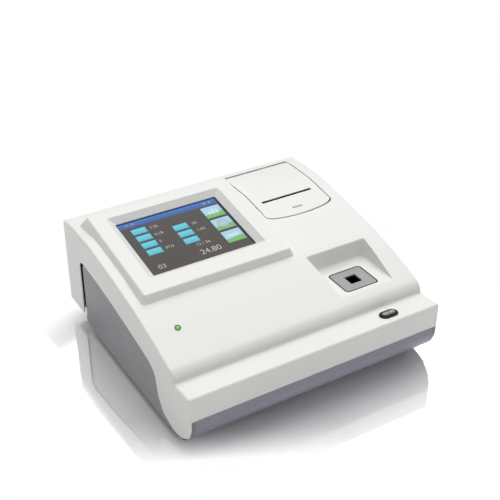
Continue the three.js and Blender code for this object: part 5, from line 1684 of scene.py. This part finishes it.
def rod_profile(radius, low, high, end, grooves, depth, half, slope):
    """A rod with bevelled ends and grooves round it at their places."""
    profile = [(radius - end, low), (radius, low + end)]
    for spot in grooves:
        profile += [(radius, spot - half - slope), (radius - depth, spot - half),
                    (radius - depth, spot + half), (radius, spot + half + slope)]
    return profile + [(radius, high - end), (radius - end, high)]


def platen():
    matrix, low, high = across("platen_roller")
    profile = rod_profile(PLATEN_SHAFT, low, high, 0.4 * MM, [high - 1.8 * MM], 0.4 * MM, 0.3 * MM, 0.1 * MM)
    left, right = LID_CENTRE - PLATEN_LENGTH / 2, LID_CENTRE + PLATEN_LENGTH / 2
    bore, edge = PLATEN_SHAFT + 0.05 * MM, 0.6 * MM
    sleeve = [(bore, left), (PLATEN_RADIUS, left), *arc((PLATEN_RADIUS, left + edge), edge, -1, 0),
              *arc((PLATEN_RADIUS, right - edge), edge, 0, 1), (PLATEN_RADIUS, right), (bore, right),
              (bore, left)]
    parts = (turned("sleeve", sleeve), "rubber"), (turned("shaft", profile), "steel")
    return smooth(place(gathered("platen_and_shaft", *parts), matrix))


def paper_roll():
    matrix, low, high = across("paper_roll")
    sizes = {"rounds": ROLL_ROUNDS, "inner": ROLL_CORE, "outer": ROLL_RADIUS - ROLL_SHEET,
             "width": high - low, "thickness": ROLL_SHEET, "steps": 64}
    sheet = winding_recipe.grown(mesh_object("wound_paper"), "paper", **sizes)
    place(sheet, Matrix.Translation((0, 0, (low + high) / 2)))
    inner, outer, start, end = ROLL_BORE, ROLL_CORE - ROLL_SHEET, low + 0.3 * MM, high - 0.3 * MM
    core = turned("core", [(inner, start), (outer, start), (outer, end), (inner, end), (inner, start)])
    return smooth(place(gathered("roll_of_paper", (sheet, "paper"), (core, "card")), matrix))


def hinge_rod():
    matrix, low, high = across("lid_hinge_rod")
    profile = rod_profile(HINGE_ROD, low, high, 0.3 * MM, [low + 1.55 * MM], 0.2 * MM, 0.25 * MM, 0.1 * MM)
    return smooth(place(turned("rod", profile, 32), matrix))


# Inside the case

def block(low, high, edge=0.2 * MM):
    """A block between two corners, with softened edges."""
    return slab("block", rounded_rectangle(low[:2], high[:2], edge, 2), low[2], high[2], edge, edge)


def bare_board(low, high, inset=BOARD_INSET):
    """A circuit board with rounded corners and a drilled hole at each."""
    outline = rounded_rectangle(low[:2], high[:2], 1.2 * MM, 4)
    made = slab("board", outline, low[2], high[2], 0.12 * MM, 0.12 * MM)
    for x in (low[0] + inset, high[0] - inset):
        for y in (low[1] + inset, high[1] - inset):
            cut(made, prism("drill", circle(BOARD_HOLE, 24) + (x, y), low[2] - MM, high[2] + MM))
    return made


def can(radius, height):
    """A capacitor: a drawn can with a crimped foot, stood on the floor of its own frame."""
    neck = 0.88 * radius
    profile = [
        (radius - 0.2 * MM, 0), (radius, 0.2 * MM), (radius, 0.14 * height), (neck, 0.18 * height),
        (neck, 0.22 * height), (radius, 0.27 * height), (radius, height - 0.5 * MM),
        (radius - 0.5 * MM, height), (0.7 * radius, height), (0.66 * radius, height - 0.15 * MM),
    ]
    return turned("can", profile, 32)


def cans_on(top, places, radius, height):
    spots = [(x * MM, y * MM, top) for x, y in places]
    return scatter("cans", spots, can(radius, height), "satin_metal")


def chips_on(top, places):
    """Flat packages and their legs, from the middle and the size of each in mm."""
    bodies, legs = [], []
    for x, y, width, depth in places:
        half = mm(width / 2, depth / 2, 0)
        spot = mm(x, y, 0) + (0, 0, top)
        bodies.append(block(spot - half + mm(0, 0, 0.3), spot + half + mm(0, 0, 1.5)))
        count = int((width * MM - MM) / LEG_PITCH) + 1
        first = spot - ((count - 1) * LEG_PITCH / 2, 0, 0)
        ends = half[1] + 0.9 * MM
        leg = block((-0.22 * MM, -ends, 0), (0.22 * MM, ends, 0.5 * MM), 0.08 * MM)
        legs.append(row("legs", leg, "steel", count, (LEG_PITCH, 0, 0), tuple(first)))
    return together("packages", *bodies), together("all_legs", *legs)


def specks(name, count, low, high, top, busy, seed):
    """Small parts spread over a board, clear of what already stands there."""
    chance = np.random.default_rng(seed)
    edge = 3 * MM
    spots = []
    while len(spots) < count:
        x, y = chance.uniform(low.x + edge, high.x - edge), chance.uniform(low.y + edge, high.y - edge)
        if not any(a * MM <= x <= b * MM and c * MM <= y <= d * MM for a, b, c, d in busy):
            spots.append((x, y, top))
    piece = block(mm(-1, -0.6, 0), mm(1, 0.6, 0.7), 0.1 * MM)
    return scatter(name, spots, piece, "natural_plastic", seed=seed)


def main_board():
    low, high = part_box("main_board")
    top = low.z + BOARD
    corner = np.array((low.x + SINK_INSET, low.y + SINK_INSET, top))
    sink = block(corner, corner + (SINK_SIDE, SINK_SIDE, 1.4 * MM))
    fin = block((0, 0, 0), (SINK_FIN, SINK_SIDE, 2.9 * MM))
    pitch = (SINK_SIDE - SINK_FIN) / (SINK_FINS - 1)
    fins = row("fins", fin, "black_metal", SINK_FINS, (pitch, 0, 0), tuple(corner + mm(0, 0, 1.1)))
    plug = block((PLUG_ENDS[0], low.y + 6 * MM, top), (PLUG_ENDS[1], low.y + 12 * MM, high.z - 1.4 * MM))
    pin_spots = [(x * MM, low.y + y * MM) for x in range(-12, 16, 2) for y in (8, 10)]
    pins = rods("pins", pin_spots, 0.32 * MM, top, high.z, 8)
    packages, legs = chips_on(top, CHIPS)
    cans = cans_on(top, CANS, 3 * MM, 6 * MM)
    busy = [(x - w / 2 - 2, x + w / 2 + 2, y - d / 2 - 2, y + d / 2 + 2) for x, y, w, d in CHIPS]
    busy += [(x - 4, x + 4, y - 4, y + 4) for x, y in CANS]
    small = specks("small_parts", 70, low, high, top, TALL_PARTS + busy, 4)
    plate = bare_board(low, (high.x, high.y, top))
    return smooth(gathered(
        "main_circuit", (plate, "circuit_board"), (together("sink", sink, fins), "black_metal"),
        (plug, "natural_plastic"), (pins, "brass"), (packages, "dark_plastic"), (legs, "steel"),
        (cans, "satin_metal"), (small, "natural_plastic")))


def power_board():
    low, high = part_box("power_board")
    top = low.z + BOARD
    left, right, front, rear, tall = 51 * MM, 83 * MM, 7.5 * MM, 35.5 * MM, 22 * MM
    cheek, yoke = 6 * MM, 5 * MM
    core = [block((left, front, top), (right, rear, top + yoke), 0.5 * MM),
            block((left, front, top + tall - yoke), (right, rear, top + tall), 0.5 * MM)]
    for x in (left, right - cheek):
        core.append(block((x, front, top + 4 * MM), (x + cheek, rear, top + 18 * MM), 0.5 * MM))
    ribs = []
    for k in range(COIL_ROUNDS):
        swell = 12.4 * MM if k % 2 else 12.1 * MM
        rib = rounded_rectangle((-9 * MM, -swell), (9 * MM, swell), 3 * MM, 4)
        ribs.append((rib + ((left + right) / 2, (front + rear) / 2), top + yoke + k * 1.2 * MM))
    large = place(can(8 * MM, high.z - top), Matrix.Translation((*LARGE_CAN_SPOT, top)))
    cans = cans_on(top, POWER_CANS, 4 * MM, 11 * MM)
    plate = bare_board(low, (high.x, high.y, top))
    sink = block((88 * MM, -9 * MM, top), (112 * MM, -7.5 * MM, top + 18 * MM))
    fin = block((0, 0, 0), mm(1.2, 8, 18))
    fins = row("fins", fin, "black_metal", 7, (3.8 * MM, 0, 0), (88 * MM, -8 * MM, top))
    packages, legs = chips_on(top, POWER_CHIPS)
    small = specks("small_parts", 14, low, high, top, POWER_PARTS, 6)
    return smooth(gathered(
        "power_circuit", (plate, "circuit_board"), (together("core", *core), "dark_plastic"),
        (stack("coil", *ribs), "heater_film"), (together("cans_all", large, cans), "satin_metal"),
        (together("sink", sink, fins), "black_metal"), (packages, "dark_plastic"), (legs, "steel"),
        (small, "natural_plastic")))


def flat_board(node, matrix=None):
    """A board that fills its node: its plate, drilled and rounded."""
    spots = [(matrix.inverted() if matrix else Matrix()) @ v.co for v in frame["nodes"][node].data.vertices]
    low = [min(spot[axis] for spot in spots) for axis in range(3)]
    high = [max(spot[axis] for spot in spots) for axis in range(3)]
    made = smooth(bare_board(low, high, HOLE_INSET))
    return place(made, matrix) if matrix else made


def display_module():
    """The panel of the screen: its metal frame in front, the moulded tray and the board behind it."""
    front, rear = DISPLAY_SCREW_TOP, DISPLAY_POST_FOOT
    rim = slab("rim", centred_rectangle(*DISPLAY_RIM, 4), front - 1.6 * MM, front, 0.2 * MM, 0.5 * MM)
    cut(rim, prism("window", centred_rectangle(*DISPLAY_WINDOW, 4), front - 0.7 * MM, front + MM))
    tray = slab("tray", centred_rectangle(*DISPLAY_TRAY, 4), rear + 2.9 * MM, front - 1.5 * MM, 0.6 * MM, 0)
    width, height = DISPLAY_BOARD
    plate = bare_board((-width, -height, rear + 1.7 * MM), (width, height, rear + 3 * MM))
    packages, legs = chips_on(0, DISPLAY_CHIPS)
    over = Matrix.Translation((0, 0, rear + 1.7 * MM)) @ Matrix.Rotation(math.pi, 4, "X")
    made = gathered("display_panel", (rim, "steel"), (tray, "display_case"), (plate, "circuit_board"),
                    (place(packages, over), "dark_plastic"), (place(legs, over), "steel"))
    return smooth(place(made, screen_frame))


def print_head():
    """The heated line on its ceramic strip, its drivers under dark resin, on a metal carrier."""
    low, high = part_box("print_head")

    def bar(inset, front, back, foot, top, edge=0.2 * MM):
        start = (low.x + inset * MM, low.y + front * MM, foot)
        return block(start, (high.x - inset * MM, low.y + back * MM, top), edge)

    carrier = block((low.x, low.y + MM, low.z), high, 0.4 * MM)
    for x in (low.x + 8 * MM, high.x - 8 * MM):
        drill = place(prism("drill", circle(1.4 * MM, 24), -5 * MM, 5 * MM), TO_THE_BACK)
        cut(carrier, place(drill, Matrix.Translation((x, high.y, high.z - 3 * MM))))
    return smooth(gathered(
        "heated_line", (carrier, "satin_metal"),
        (bar(1, 0.25, 1.1, PRINT_LINE - 6 * MM, PRINT_LINE + 3 * MM), "natural_plastic"),
        (bar(2, 0, 0.4, PRINT_LINE - 0.5 * MM, PRINT_LINE + 0.5 * MM, 0.08 * MM), "dark_plastic"),
        (bar(4, 0, 0.5, PRINT_LINE - 4.4 * MM, PRINT_LINE - 2 * MM, 0.1 * MM), "dark_plastic"),
        (bar(20, 0, 1.2, low.z, low.z + 2.6 * MM), "natural_plastic")))


def heater_pad():
    """A thin film heater: a winding track between two films, and its two solder pads."""
    low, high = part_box("heater_pad")
    width, thick, height = high - low
    film = slab("film", centred_rectangle(width, height, 2 * MM, 5), 0, 0.6 * thick, 0.1 * MM, 0.1 * MM)
    bar = slab("bar", centred_rectangle(24 * MM, 1 * MM, 0.4 * MM, 3), 0, 0.3 * MM, 0.05 * MM, 0.1 * MM)
    bars = row("bars", bar, "brass", 10, (0, 2.6 * MM, 0), (0, -12 * MM, 0.5 * thick))
    pad = slab("pad", centred_rectangle(3 * MM, 2.4 * MM, 0.8 * MM, 4), 0, 0.4 * thick, 0.1 * MM, 0.2 * MM)
    pads = row("pads", pad, "steel", 2, (8 * MM, 0, 0), (-4 * MM, 13 * MM, 0.6 * thick))
    made = gathered("film_heater", (film, "heater_film"), (bars, "heater_film"), (pads, "steel"))
    middle = ((low.x + high.x) / 2, high.y, (low.z + high.z) / 2)
    return smooth(place(made, Matrix.Translation(middle) @ STANDING))


def light_source():
    """The lamp of the optics: a barrel towards the cuvette and cooling fins away from it."""
    low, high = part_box("light_source")
    matrix, x_low, x_high = across("light_source")
    body = block((low.x + 8 * MM, low.y, low.z), (high.x - 5 * MM, high.y, high.z), 0.6 * MM)
    fin = block((0, low.y, low.z), (1.2 * MM, high.y, high.z), 0.3 * MM)
    fins = row("fins", fin, "satin_metal", 4, (2.4 * MM, 0, 0), (low.x, 0, 0))
    stem = place(turned("stem", [(4 * MM, x_low + 0.4 * MM), (4 * MM, x_low + 9 * MM)], 32), matrix)
    rim = [(r * MM, x_high + h * MM) for r, h in (
        (4, -6), (7.5, -6), (7.5, -0.5), (7, 0), (4.4, 0), (4, -0.4), (4, -6))]
    return smooth(together("lamp_housing", body, fins, stem, place(turned("barrel", rim), matrix)))


def scatter_detector():
    """The sensor of the optics: a dark cup towards the cuvette, its board and pins behind."""
    low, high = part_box("scatter_detector")
    cup = block(low, (high.x, high.y - 4 * MM, high.z), 0.8 * MM)
    nose = place(prism("nose", circle(3.4 * MM, 32), -5 * MM, 5 * MM), TO_THE_BACK)
    middle = (low + high) / 2
    cut(cup, place(nose, Matrix.Translation((middle.x, low.y, SENSOR_LINE))))
    inset = 0.5 * MM
    plate = bare_board((low.x + inset, low.z + inset, -high.y + 2.5 * MM),
                       (high.x - inset, high.z - inset, -high.y + 4.1 * MM), HOLE_INSET)
    pin_spots = [(middle.x + a * MM, middle.z + b * MM) for a in (-4, 4) for b in (-4, 4)]
    pins = rods("pins", pin_spots, 0.4 * MM, -high.y, -high.y + 3 * MM, 12)
    return smooth(gathered("sensor_cup", (cup, "dark_plastic"), (place(plate, STANDING), "circuit_board"),
                           (place(pins, STANDING), "steel")))


def lens(node, matrix, low, high):
    """A lens with a flat rim and two domed faces."""
    middle, half = (low + high) / 2, (high - low) / 2
    dome = [(0.97 * LENS_RADIUS * math.cos(a), 0.5 * MM + (half - 0.5 * MM) * math.sin(a))
            for a in np.linspace(0, 1.5, 10)]
    rim = [(LENS_RADIUS, middle - 0.4 * MM), (LENS_RADIUS, middle + 0.4 * MM)]
    profile = [(r, middle - h) for r, h in dome[::-1]] + rim + [(r, middle + h) for r, h in dome]
    return smooth(place(turned(node + "_glass", profile), matrix))


def detector_lens():
    low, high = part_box("detector_lens")
    along = Matrix(((1, 0, 0, 0), (0, 0, 1, 0), (0, -1, 0, 0), (0, 0, 0, 1)))
    middle = Matrix.Translation(((low.x + high.x) / 2, 0, (low.z + high.z) / 2))
    return lens("detector_lens", middle @ along, low.y, high.y)


def upright_piece(node, name, profile):
    """A turned piece in the middle of its node, from shares of the node's radius and of its height."""
    low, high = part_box(node)
    middle, radius = middle_of(node), (high.x - low.x) / 2
    made = turned(name, [(r * radius, low.z + h * (high.z - low.z)) for r, h in profile])
    return smooth(place(made, Matrix.Translation((middle.x, middle.y, 0))))


BUZZER_SHARES = [
    (0.16, 0.7), (0.16, 0.99), (0.19, 1), (0.9, 1), (1, 0.95), (1, 0.12), (0.96, 0.1), (0.96, 0), (0.1, 0),
    (0.1, 0.7), (0.16, 0.7),
]
CELL_SHARES = [
    (0.97, 0), (1, 0.08), (1, 0.8), (0.985, 0.88), (0.91, 0.9), (0.905, 0.82), (0.89, 0.82), (0.88, 0.94),
    (0.86, 1), (0.8, 1),
]


def spindle():
    matrix, low, high = across("paper_spindle")
    grooves, end = np.linspace(low, high, 6)[1:-1], 2.2 * MM
    middle = rod_profile(SPINDLE, low + end, high - end, 0.3 * MM, grooves, 0.4 * MM, 0.9 * MM, 0.3 * MM)
    profile = rod_profile(SPINDLE - 0.3 * MM, low, high, 0.5 * MM, [], 0, 0, 0)
    return smooth(place(turned("spindle_rod", profile[:2] + middle + profile[2:]), matrix))


# Camera and light

CAMERA_SPOT = (-0.4389, -0.7238, 0.6379)
CAMERA_LENS = 72.395
CAMERA_TURN_RIGHT = 0.5487
CAMERA_LOOK_DOWN = 0.5643
CAMERA_ROLL = 0.0045


def camera():
    """The photographer's place: to the left of the front and above, turned to the case."""
    ahead = Vector((math.sin(CAMERA_TURN_RIGHT) * math.cos(CAMERA_LOOK_DOWN),
                    math.cos(CAMERA_TURN_RIGHT) * math.cos(CAMERA_LOOK_DOWN), -math.sin(CAMERA_LOOK_DOWN)))
    right = Vector((math.cos(CAMERA_TURN_RIGHT), -math.sin(CAMERA_TURN_RIGHT), 0))
    up = right.cross(ahead)
    level_right = math.cos(CAMERA_ROLL) * right + math.sin(CAMERA_ROLL) * up
    level_up = math.cos(CAMERA_ROLL) * up - math.sin(CAMERA_ROLL) * right
    data = bpy.data.cameras.new("camera")
    data.lens = CAMERA_LENS
    data.sensor_width = 36
    made = linked("camera", data)
    turn = Matrix((level_right, level_up, -ahead)).transposed()
    made.matrix_world = Matrix.Translation(CAMERA_SPOT) @ turn.to_4x4()
    bpy.context.scene.camera = made


KEY_LIGHT_WAY = (-0.36, -0.42, -1)
KEY_LIGHT_STRENGTH = 2.05
KEY_LIGHT_SPREAD = 55


def key_light():
    data = bpy.data.lights.new("key_light", "SUN")
    data.energy = KEY_LIGHT_STRENGTH
    data.angle = math.radians(KEY_LIGHT_SPREAD)
    linked("key_light", data).rotation_euler = Vector(KEY_LIGHT_WAY).to_track_quat("-Z", "Y").to_euler()


WORLD_LIGHT = 0.43
FLOOR_GLOSS = 0.48
FLOOR_GLOSS_BESIDE = 0.2
FLOOR_WHITE_BESIDE = (0.037, 0.006)
FLOOR_WHITE_LEAST = 0.05
FLOOR_FADE = (0.142, 0.064)
FLOOR_FADE_LEAN = 0.49


def floor():
    """White and dull, with a shine and a shadow that fade away from the case, soonest at its front left."""
    made = mesh_object("floor", [(-6, -6, 0), (6, -6, 0), (6, 6, 0), (-6, 6, 0)], [(0, 1, 2, 3)])
    finish = Finish("floor_board", "ShaderNodeMixShader")
    camera_ray = finish.node("ShaderNodeLightPath", output="Is Camera Ray")
    seen = camera_ray.maximum(finish.node("ShaderNodeLightPath", output="Is Glossy Ray"))
    spot = finish.sides()
    beside = (spot.math("ABSOLUTE") - HALF).maximum(0)
    out = spot.also("Y").math("ABSOLUTE") - spot.math("MINIMUM", 0) * FLOOR_FADE_LEAN

    def share(distance, start, reach):
        return ((distance - start) / reach).clamped()

    fade = share(out, *FLOOR_FADE)
    white = share(beside, *FLOOR_WHITE_BESIDE).maximum(fade.math("POWER", 3)).maximum(FLOOR_WHITE_LEAST)
    gloss_beside = (1 - beside / FLOOR_GLOSS_BESIDE).maximum(0)
    shine = (1 - fade) * gloss_beside * FLOOR_GLOSS + finish.noise(2, 2) * 0.01
    dull = finish.node("ShaderNodeBsdfDiffuse", None, {0: finish.mix(seen, (0.93, 0.93, 0.93), (1, 1, 1))})
    plain = finish.node("ShaderNodeEmission", None, {"Color": (1, 1, 1), "Strength": 1.0})
    faded = finish.node("ShaderNodeMixShader", None, {0: white * camera_ray, 1: dull, 2: plain})
    gloss = finish.node("ShaderNodeBsdfAnisotropic", None, {"Color": (0.98, 0.98, 0.98), "Roughness": 0.05})
    finish.feed(finish.shader.inputs[0], seen * shine)
    finish.feed(finish.shader.inputs[1], faded)
    finish.feed(finish.shader.inputs[2], gloss)
    made.data.materials.append(finish.material)


def sky():
    """Even light all round, seen as white by the camera and in reflections."""
    world = bpy.data.worlds.new("studio")
    bpy.context.scene.world = world
    world.use_nodes = True
    tree = Nodes()
    tree.tree = world.node_tree
    world.node_tree.nodes.clear()
    light = tree.node("ShaderNodeBackground", None, {"Color": (1, 1, 1), "Strength": WORLD_LIGHT})
    white = tree.node("ShaderNodeBackground", None, {"Color": (1, 1, 1), "Strength": 1.0})
    path = tree.node("ShaderNodeLightPath", output="Is Camera Ray")
    seen = path.maximum(tree.node("ShaderNodeLightPath", output="Is Glossy Ray"))
    seen = seen.maximum(tree.node("ShaderNodeLightPath", output="Is Transmission Ray"))
    mixed = tree.node("ShaderNodeMixShader", None, {0: seen, 1: light, 2: white})
    tree.feed(world.node_tree.nodes.new("ShaderNodeOutputWorld").inputs["Surface"], mixed)


# Dressing

def fit(obj, slot, body, *nodes):
    """A piece takes its slot's finish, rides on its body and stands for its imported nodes."""
    if not obj.data.materials or obj.data.materials[0] is None:
        in_one(obj, slot)
    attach(obj, body)
    if nodes:
        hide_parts(*nodes)


def fit_plain(obj, slot, body, *nodes, finish=None):
    """Fits a piece all in one finish: its slot's own where no other is given."""
    fit(in_one(obj, finish or slot), slot, body, *nodes)


def in_one(obj, finish):
    obj.data.materials.clear()
    obj.data.materials.append(finishes[finish])
    return obj


def with_grip(lid):
    """The lid with the raised bar of its grip in grey."""
    lid.data.materials.append(finishes["grip_grey"])
    for face in lid.data.polygons:
        if face.center.z > surface(face.center.y) + 0.4 * GRIP_RAISE:
            face.material_index = 1
    return lid


def keep_frame_finishes():
    """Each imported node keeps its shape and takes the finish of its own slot."""
    for part in frame["record"]["subparts"]:
        for place_for in frame["nodes"][part["node"]].material_slots:
            place_for.material = finishes[part["material_slot"]]


camera()
floor()
sky()
key_light()
keep_frame_finishes()
fit_plain(top_cover(), "white_plastic", "case", "top_cover")
fit_plain(side_panel(-1, "left_panel"), "grey_plastic", "case", "side_panel_left", finish="panel_plastic")
fit_plain(side_panel(1, "right_panel"), "grey_plastic", "case", "side_panel_right", finish="panel_plastic")
fit_plain(base_tray(), "grey_plastic", "case", "base_tray")
fit(feet(), "rubber", "case", *["foot_" + corner for corner in corners])
fit(case_screws(), "steel", "case", *["case_screw_" + corner for corner in corners])
fit(rear_screws(), "steel", "case", "rear_screw_left", "rear_screw_right")
fit(display_screws(), "steel", "case", *["display_screw_" + corner for corner in corners])
fit(with_grip(in_one(printer_lid(), "white_plastic")), "white_plastic", "lid", "printer_lid")
fit_plain(touch_glass(), "screen_glass", "case", "touch_glass")
fit_plain(screen_figures(), "screen_glass", "case", finish="screen_ink")
fit_plain(button_ring(), "dark_plastic", "case", "button_ring")
fit(button_cap(), "mid_grey_plastic", "button", "power_button")
# The light's bezel gets a painted green glow in place of the light spilling onto it.
fit_plain(light_ring(), "dark_plastic", "case", "light_ring", finish="green_ring")
fit_plain(light_lens(), "green_lens", "case", "light_lens")
fit_plain(well_plate(), "satin_metal", "case", "well_plate", finish="plate_metal")
fit_plain(rear_panel(), "grey_plastic", "case", "rear_panel")
fit(power_inlet(), "dark_plastic", "case", "power_inlet")
fit(serial_port(), "satin_metal", "case", "serial_port")
fit(usb_port(), "satin_metal", "case", "usb_port")
fit(platen(), "rubber", "platen", "platen_roller")
fit(paper_roll(), "paper", "paper", "paper_roll")
fit_plain(hinge_rod(), "steel", "case", "lid_hinge_rod")
fit(main_board(), "circuit_board", "case", "main_board")
fit(power_board(), "circuit_board", "case", "power_board")
fit_plain(flat_board("io_board"), "circuit_board", "case", "io_board")
fit_plain(flat_board("button_board", button_frame), "circuit_board", "case", "button_board")
fit_plain(flat_board("light_board", light_frame), "circuit_board", "case", "light_board")
fit(display_module(), "display_case", "case", "display_module")
fit(print_head(), "satin_metal", "case", "print_head")
fit(heater_pad(), "heater_film", "case", "heater_pad")
fit_plain(light_source(), "satin_metal", "case", "light_source")
fit(scatter_detector(), "dark_plastic", "case", "scatter_detector")
fit_plain(lens("source_lens", *across("source_lens")), "clear_lens", "case", "source_lens")
fit_plain(detector_lens(), "clear_lens", "case", "detector_lens")
fit_plain(upright_piece("buzzer", "sounder", BUZZER_SHARES), "dark_plastic", "case", "buzzer")
fit_plain(upright_piece("backup_battery", "coin_cell", CELL_SHARES), "steel", "case", "backup_battery")
fit_plain(spindle(), "mid_grey_plastic", "paper", "paper_spindle")

bpy.context.scene.view_settings.view_transform = "Standard"
